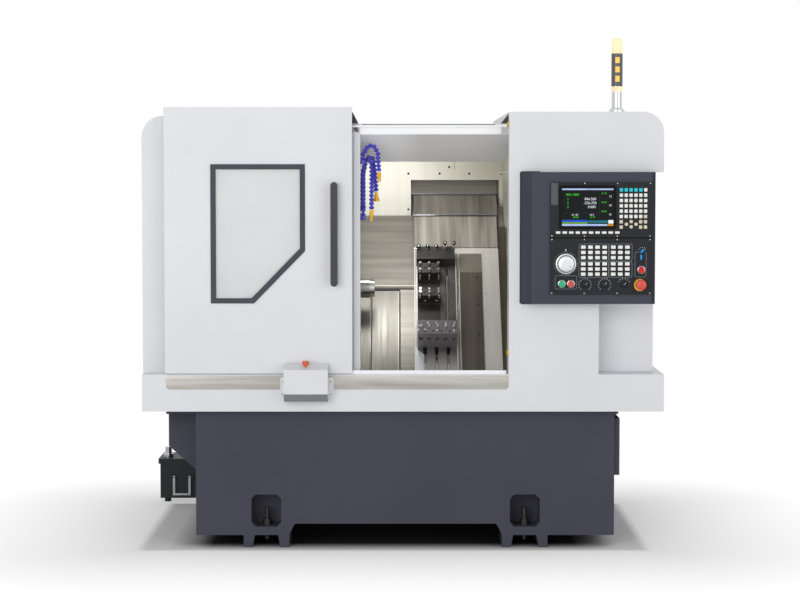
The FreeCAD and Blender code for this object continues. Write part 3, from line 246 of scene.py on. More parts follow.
def mouldedPlastic(name, colour, worn, roughness=0.42, grain=1.4, depth=0.08, **more):
    # moulded ABS, nylon or rubber: a fine spark-eroded texture and a slightly uneven tone
    tree, shader = newMaterial(name, {"Roughness": roughness, "IOR": 1.5, **more})
    where = patternOn(tree)
    cloud = noise(tree, 45, 4, where)
    tone = mixed(tree, colour, worn, cloud.outputs["Fac"])
    fine = noise(tree, grain, 2, where)
    gloss = mapped(tree, fine.outputs["Fac"], 0, 1, roughness - 0.06, roughness + 0.08)
    wired(tree, shader, tone, gloss, fine, depth)


paintedSteel("housingPowderCoat", "#E1E2E5", "#DCDDE0")
paintedSteel("boxPowderCoat", "#E1E2E5", "#DCDDE0", under="#85868A")
paintedSteel("beamPowderCoat", "#FBFBFD", "#F7F8FA")
paintedSteel("slatePowderCoat", "#444452", "#3F3F4C", roughness=0.55, peel=1.6, depth=0.22, coat=0.0, specular=0.25)
# the console's right margin, from x 0.973 to 0.980 m, takes a darker tone: painted shade along that edge
paintedSteel("consolePowderCoat", "#444452", "#3F3F4C", roughness=0.55, peel=1.6, depth=0.22, coat=0.0, specular=0.25,
    shade=("#25252D", 0.973, 0.980, 0))
paintedSteel("blackPowderCoat", "#1B1B1E", "#232326", roughness=0.45, peel=1.6)
paintedSteel("tankEnamel", "#222628", "#1D2022", roughness=0.5, coat=0.0, specular=0.25)
brushedSteel("stainlessAlong", "#BCBAB4", "#918F88", (0,))
# the header panel turns white towards its left end, from x 0.12 to -0.02 m: painted light
brushedSteel("stainlessHeader", "#E9E8E5", "#DBDAD7", (0,), contrast=0.5, metallic=0.1, roughness=0.4,
    shade=("#FFFFFF", 0.12, -0.02, 0))
brushedSteel("stainlessEnd", "#C4C4C5", "#B6B6B7", (2,), contrast=0.5, metallic=0.1, roughness=0.45)
# the inner walls' dark base tone is painted shade of the work area; above z 1.216 m they take the lighter tone of the
# lit wall
brushedSteel(
    "stainlessWall", "#6B665B", "#5C574D", (2,), contrast=0.8, metallic=0.4, shade=("#BDB9AC", 1.216, 1.219, 2))
# the rear shield greys towards the right, from x 0.02 to 0.42 m: painted shade
brushedSteel("stainlessShield", "#DEDCD2", "#CFCDC3", (2,), contrast=0.6, metallic=0.15, roughness=0.5,
    shade=("#B5B2A4", 0.02, 0.42, 0))
brushedSteel("stainlessSlope", "#CFCABF", "#8D887D", (1, 2), contrast=1.1, metallic=0.5)
brushedSteel("stainlessShaded", "#A5A097", "#6E6960", (1, 2), contrast=0.9, metallic=0.5)
brushedSteel("stainlessStrip", "#EBE9E2", "#D4D1C8", (1, 2), contrast=0.8, metallic=0.25)
# past x 0.4345 m the carriage covers take a darker tone: painted shade in the gap there
brushedSteel("stainlessGuard", "#ABA89E", "#8E8B81", (0,), contrast=0.9, metallic=0.45, line=1.1,
    shade=("#8A8477", 0.4340, 0.4345, 0))
brushedSteel("stainlessSoft", "#A29F96", "#827F76", (1, 2), contrast=0.7, metallic=0.6, line=9.0)
# above z 1.033 m the guard plate takes a lighter tone: a painted highlight
brushedSteel("polishedCover", "#6A645A", "#544F47", (1, 2), contrast=0.9, metallic=0.3, line=14.0,
    shade=("#8A8478", 1.033, 1.034, 2))
machinedMetal("groundSteel", "#C9C7C1", "#A19E97", 0.3, metallic=0.7)
machinedMetal("chuckSteel", "#C9C7C2", "#94918B", 0.22)
# the gang table turns lighter towards its lower end, from z 0.735 to 0.655 m: painted light
machinedMetal(
    "castIron", "#66635E", "#45423F", 0.5, metallic=0.4, grit=2.0, depth=0.4, shade=("#BDBAB3", 0.735, 0.655, 2))
# below z 0.885 m the lower tool blocks take a lighter tone: painted light
machinedMetal(
    "blockSteel", "#403D3B", "#2C2A28", 0.42, metallic=0.3, grit=2.0, depth=0.3, shade=("#757274", 0.886, 0.884, 2))
machinedMetal("blackOxide", "#393634", "#242220", 0.42, metallic=0.4, grit=2.0, depth=0.3)
machinedMetal("chromePlate", "#DDDDE0", "#BFC0C4", 0.12, grit=8.0, depth=0.03)
machinedMetal("turnedAluminium", "#E4E6E8", "#D4D6D9", 0.38, metallic=0.6, depth=0.05)
mouldedPlastic("blackAbs", "#131316", "#1C1C20", **{"Specular IOR Level": 0.35})
mouldedPlastic("bezelAbs", "#08090A", "#0C0D0E", roughness=0.6, **{"Specular IOR Level": 0.15})
mouldedPlastic("unitAbs", "#222327", "#27282C", roughness=0.55, **{"Specular IOR Level": 0.2})
mouldedPlastic("sealRubber", "#3D3F49", "#34363F", roughness=0.6)
mouldedPlastic("bumperRubber", "#E9B51D", "#D99F12", roughness=0.55)
mouldedPlastic("hoseNylon", "#453FD2", "#2F29A6", roughness=0.24, **{"Coat Weight": 0.5, "Coat Roughness": 0.15})
mouldedPlastic("nozzleNylon", "#F6BE2A", "#EDA91A", roughness=0.35)
mouldedPlastic("orangeAbs", "#E0641C", "#CC5513", roughness=0.3)
mouldedPlastic("redAbs", "#E01B1B", "#C41414", roughness=0.25)
mouldedPlastic("coralAbs", "#E2564C", "#D0453C", roughness=0.3)
mouldedPlastic("greenAbs", "#2FC08A", "#27A878", roughness=0.3)
mouldedPlastic("whiteAbs", "#F3F3F0", "#E6E6E2", roughness=0.4)
mouldedPlastic("sleeveAbs", "#606166", "#4E4F54", roughness=0.3)


def litScreen(name, colour, strength=0.55, roughness=0.15):
    # glass or acrylic over a light: the colour shines through and the surface keeps a soft gloss
    tree, shader = newMaterial(name, {
        "Roughness": roughness, "IOR": 1.5, "Specular IOR Level": 0.12, "Emission Color": toLinear(colour),
        "Emission Strength": strength})
    bands = noise(tree, 60, 2, patternOn(tree))
    tone = addNode(
        tree, "MixRGB", {"Color1": toLinear(colour), "Color2": (0.01, 0.01, 0.01, 1)}, {"Fac": bands.outputs["Fac"]})
    tree.links.new(tone.outputs[0], shader.inputs["Base Color"])


def paneGlass(name, colour):
    # laminated pane: nearly clear, with a faint film of dried coolant mist that greys it unevenly
    tree, shader = newMaterial(
        name, {"Roughness": 0.06, "IOR": 1.5, "Alpha": 0.5, "Coat Weight": 0.5, "Coat Roughness": 0.03})
    mist = noise(tree, 160, 5, patternOn(tree))
    tone = mixed(tree, colour, "#E8EAEA", mist.outputs["Fac"])
    tree.links.new(tone.outputs[0], shader.inputs["Base Color"])


paneGlass("paneGlass", "#F5F6F6")
litScreen("domeLens", "#FFE0B4", 0.8, 0.3)

finishOfNode = {
    "housingPowderCoat": [
        "apron", "left_housing", "right_housing", "rear_cover", "roof_panel", "door_jamb", "door_panel", "headstock"],
    "boxPowderCoat": ["button_box"], "beamPowderCoat": ["header_beam", "door_rails"],
    "slatePowderCoat": ["base_casting", "base_feet", "slant_bed"], "consolePowderCoat": ["control_box"],
    "blackPowderCoat": ["notch_trims", "spindle_motor", "door_handle"], "tankEnamel": ["coolant_tank"],
    "stainlessAlong": ["sill_strip"], "stainlessHeader": ["header_panel"], "stainlessWall": ["inner_walls"],
    "stainlessShield": ["rear_shield"], "stainlessSlope": ["x_cover_low"], "stainlessShaded": ["x_cover_middle"],
    "stainlessStrip": ["slide_covers", "slide_plate"], "stainlessGuard": ["carriage_covers"],
    "stainlessSoft": ["z_cover_middle", "z_cover_left"],
    "groundSteel": ["z_rails", "clamp_screws", "motor_pulley", "saddle"], "chuckSteel": ["spindle"],
    "castIron": ["gang_table"], "blockSteel": ["tool_blocks"], "blackOxide": ["levelling_bolts"],
    "chromePlate": ["tower_pole", "tank_handle", "tank_fitting", "handwheel"], "sleeveAbs": ["tower_sleeve"],
    "blackAbs": ["drive_belt", "selector_left", "selector_middle", "selector_right"], "unitAbs": ["panel_units"],
    "sealRubber": ["window_seal"], "bumperRubber": ["door_bumpers"], "hoseNylon": ["coolant_hoses"],
    "nozzleNylon": ["coolant_nozzles"], "orangeAbs": ["box_button"],
    "redAbs": ["estop", "stop_button", "power_button"], "greenAbs": ["start_button"], "whiteAbs": ["panel_keys"],
    "domeLens": ["tower_dome"], "paneGlass": ["window_glass"]}
for finish, names in finishOfNode.items():
    for name in names:
        slots = nodes[name].data.materials
        slots.clear()
        slots.append(finishes[finish])
bare = sorted(set(nodes) - {name for names in finishOfNode.values() for name in names})
print("nodes without a finish:", bare)

print("controls")


def ringed(centre, half, corner, steps, arc=5):
    # rounded rectangle of half sizes and corner radius, drawn in by each step's inset and lifted to its height,
    # closed to the centre at both ends; steps are (inset, height) from the back to the front
    turn = np.linspace(0, math.pi / 2, arc)
    quarter = np.arange(4)[:, None] * math.pi / 2 + turn[None, :]
    ways = np.stack([np.cos(quarter), np.sin(quarter)], -1)
    signs = np.array([(1, 1), (-1, 1), (-1, -1), (1, -1)])[:, None, :]
    inset = np.array([step[0] for step in steps], float)[:, None, None, None]
    height = np.array([step[1] for step in steps], float)
    radius = np.maximum(corner - inset, 0.02)
    outer = np.maximum(np.array(half) - inset, 0.03)
    flat = signs * np.maximum(outer - radius, 0) + ways * np.minimum(radius, outer)
    flat = flat.reshape(len(steps), -1, 2)
    flat = np.concatenate([flat[:1] * 0, flat, flat[-1:] * 0]) + np.array(centre)
    lift = np.concatenate([height[:1], height, height[-1:]])
    return np.concatenate([flat, np.broadcast_to(lift[:, None, None], flat.shape[:2] + (1,))], -1)


def looped(corners, section):
    # a section (outwards, height) carried round a closed flat outline, mitred at each corner
    spots = np.array(corners, float)
    ahead = np.roll(spots, -1, 0) - spots
    ahead /= np.linalg.norm(ahead, axis=1)[:, None]
    square = np.stack([ahead[:, 1], -ahead[:, 0]], -1)
    mitre = square + np.roll(square, 1, 0)
    mitre /= (mitre * square).sum(1)[:, None]
    section = np.array(section, float)
    flat = spots[:, None, :] + mitre[:, None, :] * section[None, :, :1]
    grid = np.concatenate([flat, np.broadcast_to(section[None, :, 1:], flat.shape[:2] + (1,))], -1)
    return np.concatenate([grid, grid[:1]])


def rounded(left, right, low, high, radius, arc=5):  # outline of a rounded rectangle, anticlockwise
    turn = np.linspace(0, math.pi / 2, arc)
    places = [
        (right - radius, high - radius), (left + radius, high - radius), (left + radius, low + radius),
        (right - radius, low + radius)]
    return np.concatenate([
        np.array(place) + radius * np.stack([np.cos(turn + k * math.pi / 2), np.sin(turn + k * math.pi / 2)], -1)
        for k, place in enumerate(places)])


def turned(profile, count=32):
    # (radius, height) turned about the height axis, closed on the axis at both ends
    profile = np.array([(0, profile[0][1]), *profile, (0, profile[-1][1])], float)
    angle = np.arange(count) * 2 * math.pi / count
    ring = np.stack([np.cos(angle), np.sin(angle)], -1)
    flat = profile[:, :1, None] * ring[None]
    return np.concatenate([flat, np.broadcast_to(profile[:, None, 1:], flat.shape[:2] + (1,))], -1)


def moved(grid, *places):  # copies of a grid at (u, v) or (u, v, height)
    return [grid + np.array(tuple(place) + (0,) * (3 - len(place))) for place in places]


sharpFrom = 32.0  # degrees between faces


def makePiece(name, grids, finish, body="frame"):
    # each grid is rows of closed rings in machine millimetres; all of them become one mesh
    points, faces, count = [], [], 0
    for grid in grids:
        rows, columns = grid.shape[:2]
        index = np.arange(rows * columns).reshape(rows, columns) + count
        index = np.hstack([index, index[:, :1]])
        quads = np.stack([index[:-1, :-1], index[:-1, 1:], index[1:, 1:], index[1:, :-1]], -1)
        points.append(grid.reshape(-1, 3))
        faces.append(quads.reshape(-1, 4))
        count += rows * columns
    mesh = bpy.data.meshes.new(name)
    mesh.from_pydata(toRow(np.concatenate(points)).tolist(), [], np.concatenate(faces).tolist())
    shape = bmesh.new()
    shape.from_mesh(mesh)
    bmesh.ops.remove_doubles(shape, verts=shape.verts, dist=2e-6)
    bmesh.ops.recalc_face_normals(shape, faces=shape.faces)
    shape.to_mesh(mesh)
    shape.free()
    mesh.polygons.foreach_set("use_smooth", np.ones(len(mesh.polygons), bool))
    mesh.set_sharp_from_angle(angle=math.radians(sharpFrom))
    piece = bpy.data.objects.new(name, mesh)
    scene.collection.objects.link(piece)
    mesh.materials.append(finishes[finish])
    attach(piece, body)
    return piece


def placed(how, grids):
    return [how(grid) for grid in grids]


def fitted(name, how, grids, finish, body="frame"):  # a piece from grids drawn flat and laid on their face
    return makePiece(name, placed(how, grids), finish, body)


def spun(grid, degrees):  # turned about its own middle, anticlockwise as drawn
    sine, cosine = math.sin(math.radians(degrees)), math.cos(math.radians(degrees))
    return grid @ np.array([[cosine, sine, 0], [-sine, cosine, 0], [0, 0, 1]])


def figures(name, words, finish, body, depth):
    # plain numbers on the screen; words are (text, x, z, height) from its lower left corner
    curves = []
    for text, x, z, height in words:
        x, z = x + screen["left"], z + screen["low"]
        curve = bpy.data.curves.new(name, "FONT")
        curve.body, curve.size = text, height / 700.0
        holder = bpy.data.objects.new(name, curve)
        scene.collection.objects.link(holder)
        bpy.context.view_layer.update()
        mesh = bpy.data.meshes.new_from_object(holder.evaluated_get(bpy.context.evaluated_depsgraph_get()))
        spots = np.zeros(len(mesh.vertices) * 3)
        mesh.vertices.foreach_get("co", spots)
        spots = spots.reshape(-1, 3)
        corners = np.zeros(len(mesh.loops), int)
        mesh.loops.foreach_get("vertex_index", corners)
        starts = np.zeros(len(mesh.polygons), int)
        mesh.polygons.foreach_get("loop_start", starts)
        curves.append((spots, np.split(corners, starts[1:]), x, z))
        bpy.data.objects.remove(holder)
        bpy.data.meshes.remove(mesh)
    points, faces, count = [], [], 0
    for spots, polygons, x, z in curves:
        points.append(
            toRow(np.stack([spots[:, 0] * 1000 + x, np.full(len(spots), depth), spots[:, 1] * 1000 + z], -1)))
        faces += [(polygon + count).tolist() for polygon in polygons]
        count += len(spots)
    mesh = bpy.data.meshes.new(name)
    mesh.from_pydata(np.concatenate(points).tolist(), [], faces)
    piece = bpy.data.objects.new(name, mesh)
    scene.collection.objects.link(piece)
    mesh.materials.append(finishes[finish])
    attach(piece, body)
    return piece


mouldedPlastic("cyanAbs", "#10D2DE", "#0CC2D0", roughness=0.4)
mouldedPlastic("ivoryAbs", "#DCD3BC", "#CFC4A8", roughness=0.4)
mouldedPlastic("blueAbs", "#17A4F2", "#1294E2", roughness=0.3)
mouldedPlastic("yellowAbs", "#F2C21C", "#E2AE10", roughness=0.3)
mouldedPlastic("printedGrey", "#8C9095", "#7E8287", roughness=0.6)
mouldedPlastic("printedWhite", "#D8DADC", "#C8CACC", roughness=0.6)
mouldedPlastic("greyAbs", "#4C5052", "#44484A", roughness=0.5)

screenTones = {
    "screenDark": "#14191A", "screenPale": "#A9BCE6", "screenBlue": "#1D56D8", "screenGreen": "#6FA81E",
    "screenTeal": "#1C6C74", "screenWhite": "#E8EEF2", "screenOrange": "#C9820C", "screenInk": "#37D41A",
    "screenGrey": "#3C4446"}
for tone, colour in screenTones.items():
    litScreen(tone, colour, 0.15 if tone in ("screenDark", "screenGrey") else 0.6)

keySteps = [(0.6, -2.4), (0, -2.0), (0, 1.6), (0.5, 2.3), (1.3, 2.5), (2.6, 2.35)]
keyLook = {"size": (6.2, 6.45), "corner": 1.6, "pad": (8.75, 6.25), "soft": (8.5, 4.5)}
mdiColumns = 822.2 + 18.3 * np.arange(6)
mdiRows = 1375.7 - 20.0 * np.arange(8)
mdiKeys = [(x, z) for z in mdiRows for x in mdiColumns]
arrows = [(841.6, 1246.5), (859.6, 1256.3), (859.8, 1236.7), (877.8, 1246.5)]
mdi = {
    "cyanAbs": mdiKeys[:5], "whiteAbs": [mdiKeys[5], *mdiKeys[6:35]],
    "ivoryAbs": [*mdiKeys[35:37], mdiKeys[40], *mdiKeys[41:43], *mdiKeys[46:48]]}
padBlocks = ((680, 26.8, 4), (793, 26.6, 3))  # left key, pitch and columns
padTop, padLow = [
    [(x + pitch * k, top - drop * j) for x, pitch, count in padBlocks for j in range(3) for k in range(count)]
    for top, drop in ((1160, 19.8), (1097, 19.4))]
softKeys = [(584.6 + 24.8 * k, 1215) for k in range(10)]
front = onFront(unitFront)
keyCap = ringed((0, 0), keyLook["size"], keyLook["corner"], keySteps)
padCap = ringed((0, 0), keyLook["pad"], keyLook["corner"], keySteps)
softCap = ringed((0, 0), keyLook["soft"], keyLook["corner"], keySteps)
roundCap = ringed((0, 0), (6.6, 6.6), 6.6, keySteps)
whiteKeys = fitted("keys_white", front, moved(keyCap, *mdi["whiteAbs"]) + moved(padCap, *padTop, *padLow)
    + moved(softCap, *softKeys), "whiteAbs")
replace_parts(whiteKeys, "panel_keys")
fitted("keys_cyan", front, moved(keyCap, *mdi["cyanAbs"]), "cyanAbs")
fitted("keys_ivory", front, moved(keyCap, *mdi["ivoryAbs"]) + moved(roundCap, *arrows), "ivoryAbs")

screen = {"left": 596, "right": 796, "low": 1236, "high": 1385, "depth": -60.4}


def pane(left, right, low, high, lift=0.0, thick=0.3):  # a thin plate given by its edges
    centre, half = ((left + right) / 2, (low + high) / 2), ((right - left) / 2, (high - low) / 2)
    return ringed(centre, half, 0.1, [(0, lift), (0, lift + thick)], 2)


glassFace = onFront(screen["depth"])
left, right, low, high = (screen[edge] for edge in ("left", "right", "low", "high"))
fitted("screen_glass", glassFace, [pane(left + 0.5, right - 0.5, low + 0.5, high - 0.5)], "screenDark")
screenBars = {
    "screen_bars_pale": (
        "screenPale", [(left + 3, right - 3, high - 10, high - 4), (left + 3, right - 26, low + 4, low + 11)]),
    "screen_bar_blue": ("screenBlue", [(left + 3, left + 100, low + 19, low + 26)]),
    "screen_bar_green": ("screenGreen", [(left + 3, left + 100, low + 12.5, low + 18)]),
    "screen_bar_teal": ("screenTeal", [(left + 102, left + 176, low + 15, low + 25)]),
    "screen_cell_white": ("screenWhite", [(left + 178, right - 3, low + 13, low + 26)]),
    "screen_cell_orange": ("screenOrange", [(left + 175, right - 3, low + 4, low + 11)]),
    "screen_lines": (
        "screenGrey", [(left + 144, left + 145, low + 34, high - 14), (left + 8, left + 142, low + 52, low + 53)])}
for name, (tone, edges) in screenBars.items():
    fitted(name, glassFace, [pane(*edge, 0.3) for edge in edges], tone)
figures("screen_figures_white", [
        ("846.500", 88, 101, 9.5), ("-236.750", 85, 86, 9.5), ("0.000", 100, 71, 9.5), ("12", 180, 112, 7),
        ("20", 180, 78, 7), ("25", 180, 44, 7), ("00 150", 40, 43, 6), ("80 0", 108, 43, 6)],
    "screenWhite", "frame", screen["depth"] - 0.45)
figures("screen_figures_green", [
        ("0001 0000", 18, 118, 8), ("1", 22, 101, 9), ("2", 22, 86, 9), ("3", 22, 71, 9), ("01 02", 152, 124, 6),
        ("03 04", 152, 90, 6), ("05 06", 152, 56, 6), ("100 00", 42, 34, 6), ("50 00", 108, 34, 6)],
    "screenInk", "frame", screen["depth"] - 0.45)

bezel = [(0, -1), (0, 1.4), (1.6, 2.4), (7.2, 2.4), (8.2, -0.3)]  # outwards from the screen's edge and up
fitted("screen_bezel", front, [looped(rounded(left, right, low, high, 1.5), bezel)], "bezelAbs")
fitted("slot_cover", front, [ringed((570.5, 1360), (13, 41.5), 2, [(0, -0.5), (0, 1.0), (0.8, 1.6)])], "greyAbs")

wheelPlace = (614, 1097)
thinSteps = [(0, -0.3), (0, 0.5)]
printLine = [(-0.6, -0.3), (-0.6, 0.35), (0.6, 0.35), (0.6, -0.3)]
outlines = [
    (663.7, 775.5, 1107.7, 1172), (777, 864, 1107.7, 1172), (663.7, 775.5, 1045.8, 1105.6),
    (777, 864, 1045.8, 1105.6), (574, 655.5, 1002, 1052), (875.1, 917.2, 1047.3, 1141.7)]
fitted("printed_outlines", front, [looped(rounded(*outline, 6), printLine) for outline in outlines], "printedGrey")

dials = {
    "places": [(687, 1018), (761, 1018)], "third": [(834, 1018)], "inner": 21.0, "outer": 25.5, "count": 13,
    "sweep": 270}


def ticks(places, inner, outer, count, sweep, wide=1.5):
    # short radial bars spread over a sweep that is open at the bottom
    bar = pane(-wide / 2, wide / 2, inner, outer, -0.2, 0.5)
    bearings = np.linspace(-sweep / 2, sweep / 2, count)
    return [grid for bearing in bearings for grid in moved(spun(bar, bearing), *places)]


fitted("printed_ticks", front, ticks(dials["places"], dials["inner"], dials["outer"], dials["count"], dials["sweep"])
    + ticks(dials["third"], dials["inner"], dials["outer"], 6, 120) + ticks([wheelPlace], 42, 45.5, 41, 350, 0.7)
    + ticks([(902.5, 1145)], 13, 16, 5, 120), "printedWhite")
fitted("wheel_mark", front, [ringed((614, 1148.5), (2.2, 3.6), 0.6, thinSteps)], "printedWhite")

knobLook = {"skirt": 12.0, "grip": 9.2, "height": 15.5}


def knob(place, pointer):
    # skirted knob: a low flared skirt and a grip bar across it turned to its pointer angle
    skirt = turned([
        (knobLook["skirt"], 0.4), (knobLook["skirt"], 2.5), (knobLook["skirt"] - 1.5, 4.2),
        (knobLook["grip"], 5.0), (knobLook["grip"] - 0.8, 8.6), (knobLook["grip"] - 2.0, 9.0)])
    bar = ringed((0, 0), (3.6, 10.2), 2.8, [(0, 4.4), (0.3, knobLook["height"] - 1.2), (1.2, knobLook["height"])])
    line = ringed((0, 5.6), (0.7, 4.2), 0.3, [(0, knobLook["height"] - 0.4), (0, knobLook["height"] + 0.25)])
    return moved(skirt, place) + moved(spun(bar, pointer), place), moved(spun(line, pointer), place)


selectors = {
    "left": ("selector_a", (687, 1018), -40), "middle": ("selector_b", (761, 1018), -35),
    "right": ("selector_c", (834, 1018), -32)}
for side, (body, place, pointer) in selectors.items():
    grip, line = knob(place, pointer)
    piece = fitted("knob_" + side, front, grip, "blackAbs", body)
    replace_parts(piece, "selector_" + side)
    fitted("knob_line_" + side, front, line, "printedWhite", body)

blueKnob = [(902.5, 1146, -38), (898, 1122, 0)]  # the key switch and the selector under it
for number, (x, z, pointer) in enumerate(blueKnob, 1):
    bar = spun(ringed((0, 0), (3.2, 9.5), 2.6, [(0, 1.5), (0.2, 7.0), (1.2, 8.0)]), pointer)
    fitted(f"switch_ring_{number}", front, moved(turned([(9.5, -0.5), (9.5, 1.2), (8.6, 2.0), (6.5, 2.2)]), (x, z)),
        "blackAbs")
    fitted(f"switch_blue_{number}", front, moved(bar, (x, z)), "blueAbs")

wheelGrip = turned([
    (38.0, 0.4), (39.0, 1.4), (39.0, 8.5), (37.6, 11.2), (33.0, 12.4), (31.2, 13.0), (30.4, 16.0), (29.6, 22.0),
    (28.4, 25.0), (26.0, 26.0), (12.0, 25.2)], 64)
piece = fitted("handwheel_dial", front, moved(wheelGrip, wheelPlace), "turnedAluminium", "pulse_wheel")
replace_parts(piece, "handwheel")
fitted("handwheel_dimple", front,
    moved(turned([(5.2, 25.3), (5.2, 26.2), (3.8, 25.7)], 24), (wheelPlace[0] + 14.5, wheelPlace[1] - 14.5)),
    "chromePlate", "pulse_wheel")


def capButton(name, place, profile, finish, body, node, count=48):
    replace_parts(fitted(name, front, moved(turned(profile, count), place), finish, body), node)


pushProfile = [(11.2, 4.3), (12.2, 5.0), (12.4, 8.6), (11.6, 10.2), (8.6, 10.9), (4.0, 10.4)]
collarProfile = [(15.2, -0.4), (15.2, 2.0), (14.2, 3.6), (13.1, 3.9), (12.8, -0.2)]
capButton("start_cap_green", (599, 1021), pushProfile, "greenAbs", "start_cap", "start_button")
capButton("stop_cap_red", (634, 1021), pushProfile, "coralAbs", "stop_cap", "stop_button")
capButton("power_cap_red", (899, 1074), pushProfile, "redAbs", "power_cap", "power_button")
capButton("stop_mushroom", (897, 1018),
    [(12.5, 4.3), (13.0, 11.0), (17.5, 13.5), (19.8, 17.0), (20.0, 22.0), (18.8, 26.0), (15.0, 28.8), (9.0, 30.0)],
    "coralAbs", "estop_cap", "estop")
fitted("button_collars", front, moved(turned(collarProfile), (599, 1021), (634, 1021), (899, 1074)), "chromePlate")
fitted("stop_ring", front,
    moved(turned([(23.2, -0.4), (23.2, 1.6), (22.0, 3.6), (16.9, 3.9), (16.2, -0.2)], 48), (894.5, 1017)),
    "yellowAbs")

unitScrews = [(x, z) for x in (561, 684.1, 807.9, 931.4) for z in (1400, 1202, 1188.5, 986)]
fitted("unit_screws", front, moved(turned([(2.6, -0.3), (2.6, 0.7), (1.9, 1.3), (1.2, 1.0)], 16), *unitScrews),
    "groundSteel")

fitted("unit_gap", front, [pane(553, 939, 1192.5, 1198.0, -0.2, 0.5)], "bezelAbs")
fitted("handwheel_gap", front,
    moved(turned([(31.0, 12.0), (31.8, 13.4), (33.6, 13.4), (33.8, 12.0)], 48), wheelPlace), "greyAbs",
    "pulse_wheel")
# black strips where the box meets the housing, along its left, top and bottom edges: the dark gap and painted shadow
# there
fitted("box_gap_shadow", onFront(0.0),
    [
        pane(443.5, 449.5, 944, 1444, -0.2, 2.4), pane(449.5, 520, 1440.5, 1446.0, -0.2, 2.4),
        pane(449.5, 640, 941.0, 946.5, -0.2, 2.4)],
    "blackAbs")

print("work area")


def onBed(out):  # (x, up the slope, height) drawn on the slope's plane at that distance out of it
    return lambda points: onSlope(points + (0.0, 0.0, out))


def strip(left, right, low, high, steps, corner=0.3):  # a plate given by its edges and its (inset, height) steps
    return ringed(((left + right) / 2, (low + high) / 2), ((right - left) / 2, (high - low) / 2), corner, steps, 3)


# the cover beside the tool table: a polished plate, its screws and the bead along the table
guard = {"plate": (233, 325, -58, 653), "bead": (221.5, 229.5, -58, 652), "out": -6.0, "floor": -12.0, "side": -2.0}
plateSteps = [(0, -0.4), (0, 0.4), (0.5, 0.8)]
beadSteps = [(0, -0.4), (0, 1.6), (0.9, 3.0), (2.2, 3.8), (3.4, 4.0)]
fitted("guard_plate", onBed(guard["out"]), [strip(*guard["plate"], plateSteps)], "polishedCover", "cross_slide")
fitted("guard_bead", onBed(guard["floor"]), [strip(*guard["bead"], beadSteps)], "chromePlate", "cross_slide")
screwHead = [(4.0, -0.4), (4.0, 1.4), (3.0, 2.6), (1.5, 2.9), (1.4, 1.8)]
darkHead = [(4.4, -0.3), (4.4, 0.9), (3.8, 1.3), (2.0, 1.3), (1.9, 0.6)]
fitted("guard_screws", onBed(guard["side"]),
    moved(turned(screwHead, 20), (338.4, 624), (339.4, 430), (341.3, 235), (341.6, 35)), "turnedAluminium",
    "cross_slide")
fitted("guard_screws_dark", onBed(guard["out"] + 0.8),
    moved(turned(darkHead, 20), (305, 519.5), (306.5, 367.5), (306.7, 213.2)), "blackOxide", "cross_slide")


def slab(corners, low, high):  # a flat plate with any outline
    outline = np.array(corners, float)
    flat = np.stack([outline * 0 + outline.mean(0), outline, outline, outline * 0 + outline.mean(0)])
    lift = np.array([low, low, high, high], float)[:, None, None]
    return np.concatenate([flat, np.broadcast_to(lift, flat.shape[:2] + (1,))], -1)


# the bevel and seam beside the tool table, the sliding covers' ribs and the trims of wall and beam
rib = {"table": -12.0, "cover": -47.3, "carriage": -45.0}
fitted("table_bevel", onBed(rib["table"]), [slab([(56, -56), (79.5, -56), (79.5, 110), (53, 147)], -0.3, 0.8)],
    "turnedAluminium", "cross_slide")
ribs = {
    "table_seam": ("table", (52.4, 53.8, 152, 684), thinSteps, "sealRubber", "cross_slide"),
    "cover_rib": ("cover", (-133, -128, -58, 478), [(0, -0.3), (0, 1.4), (1.2, 2.2)], "groundSteel", "z_cover"),
    "cover_rib_shade": ("cover", (-128, -123.4, -58, 478), thinSteps, "greyAbs", "z_cover"),
    "plate_rib": ("cover", (-19, -14.6, -58, 478), [(0, 0.2), (0, 2.4), (1.0, 3.2)], "groundSteel", "carriage"),
    "plate_rib_shade": ("carriage", (-14.6, -8.6, -58, 478), thinSteps, "greyAbs", "carriage"),
    # the black strip under the ledge is painted shadow
    "ledge_shadow": ("cover", (-230, 46, 483, 497), [(0, 0.2), (0, 1.0), (0.8, 1.8)], "blackAbs", "carriage")}
for name, (level, edges, steps, finish, body) in ribs.items():
    fitted(name, onBed(rib[level]), [strip(*edges, steps)], finish, body)
fitted("wall_deflector", onBed(-44.4), [strip(403.5, 424.5, 845, 962, [(0, -0.3), (0, 0.9), (0.8, 1.4)])],
    "stainlessShield")
fitted("beam_end", onFront(71.0), [strip(375.5, 402, 1588.6, 1616, [(0, -0.2), (0, 0.8)])], "stainlessEnd")
fitted("pane_seam", onFront(70.0), [strip(-722, -382, 1255.0, 1259.4, [(0, -0.2), (0, 0.6)])], "blackAbs")

# the tool table: bright ways in the slots, clamping nuts at the mouths and sockets in the screws
table = {"slots": (88.0, 134.5, 181.0), "way": 3.9, "floor": -9.0, "low": -58.0, "mouth": 132.0, "high": 572.0}
waySteps = [(0, -0.3), (0, 1.4), (0.9, 2.2)]
fitted("slot_ways", onBed(table["floor"]),
    [
        strip(slot - table["way"], slot + table["way"], table["low"], table["high"] if slot > 180 else table["mouth"],
            waySteps)
        for slot in table["slots"]],
    "chromePlate", "cross_slide")
nutSteps = [(0, -8.0), (0, 2.6), (1.2, 3.8)]
fitted("slot_nuts", onBed(0.0), [strip(slot - 7.2, slot + 7.2, 111, 136.6, nutSteps) for slot in table["slots"]],
    "bezelAbs", "cross_slide")
blockRows = (381, 397, 506, 540)  # up the slope
socketProfile = [(5.4, -1.0), (5.4, 0.6), (4.9, 1.0), (2.9, 1.0), (2.8, -0.6)]
clampSpots = [(71 + 36.7 * k, up, 64.0) for up in blockRows for k in range(3)]
drillSpots = [(72 + 32.5 * k, 172, 98.0) for k in range(5)]
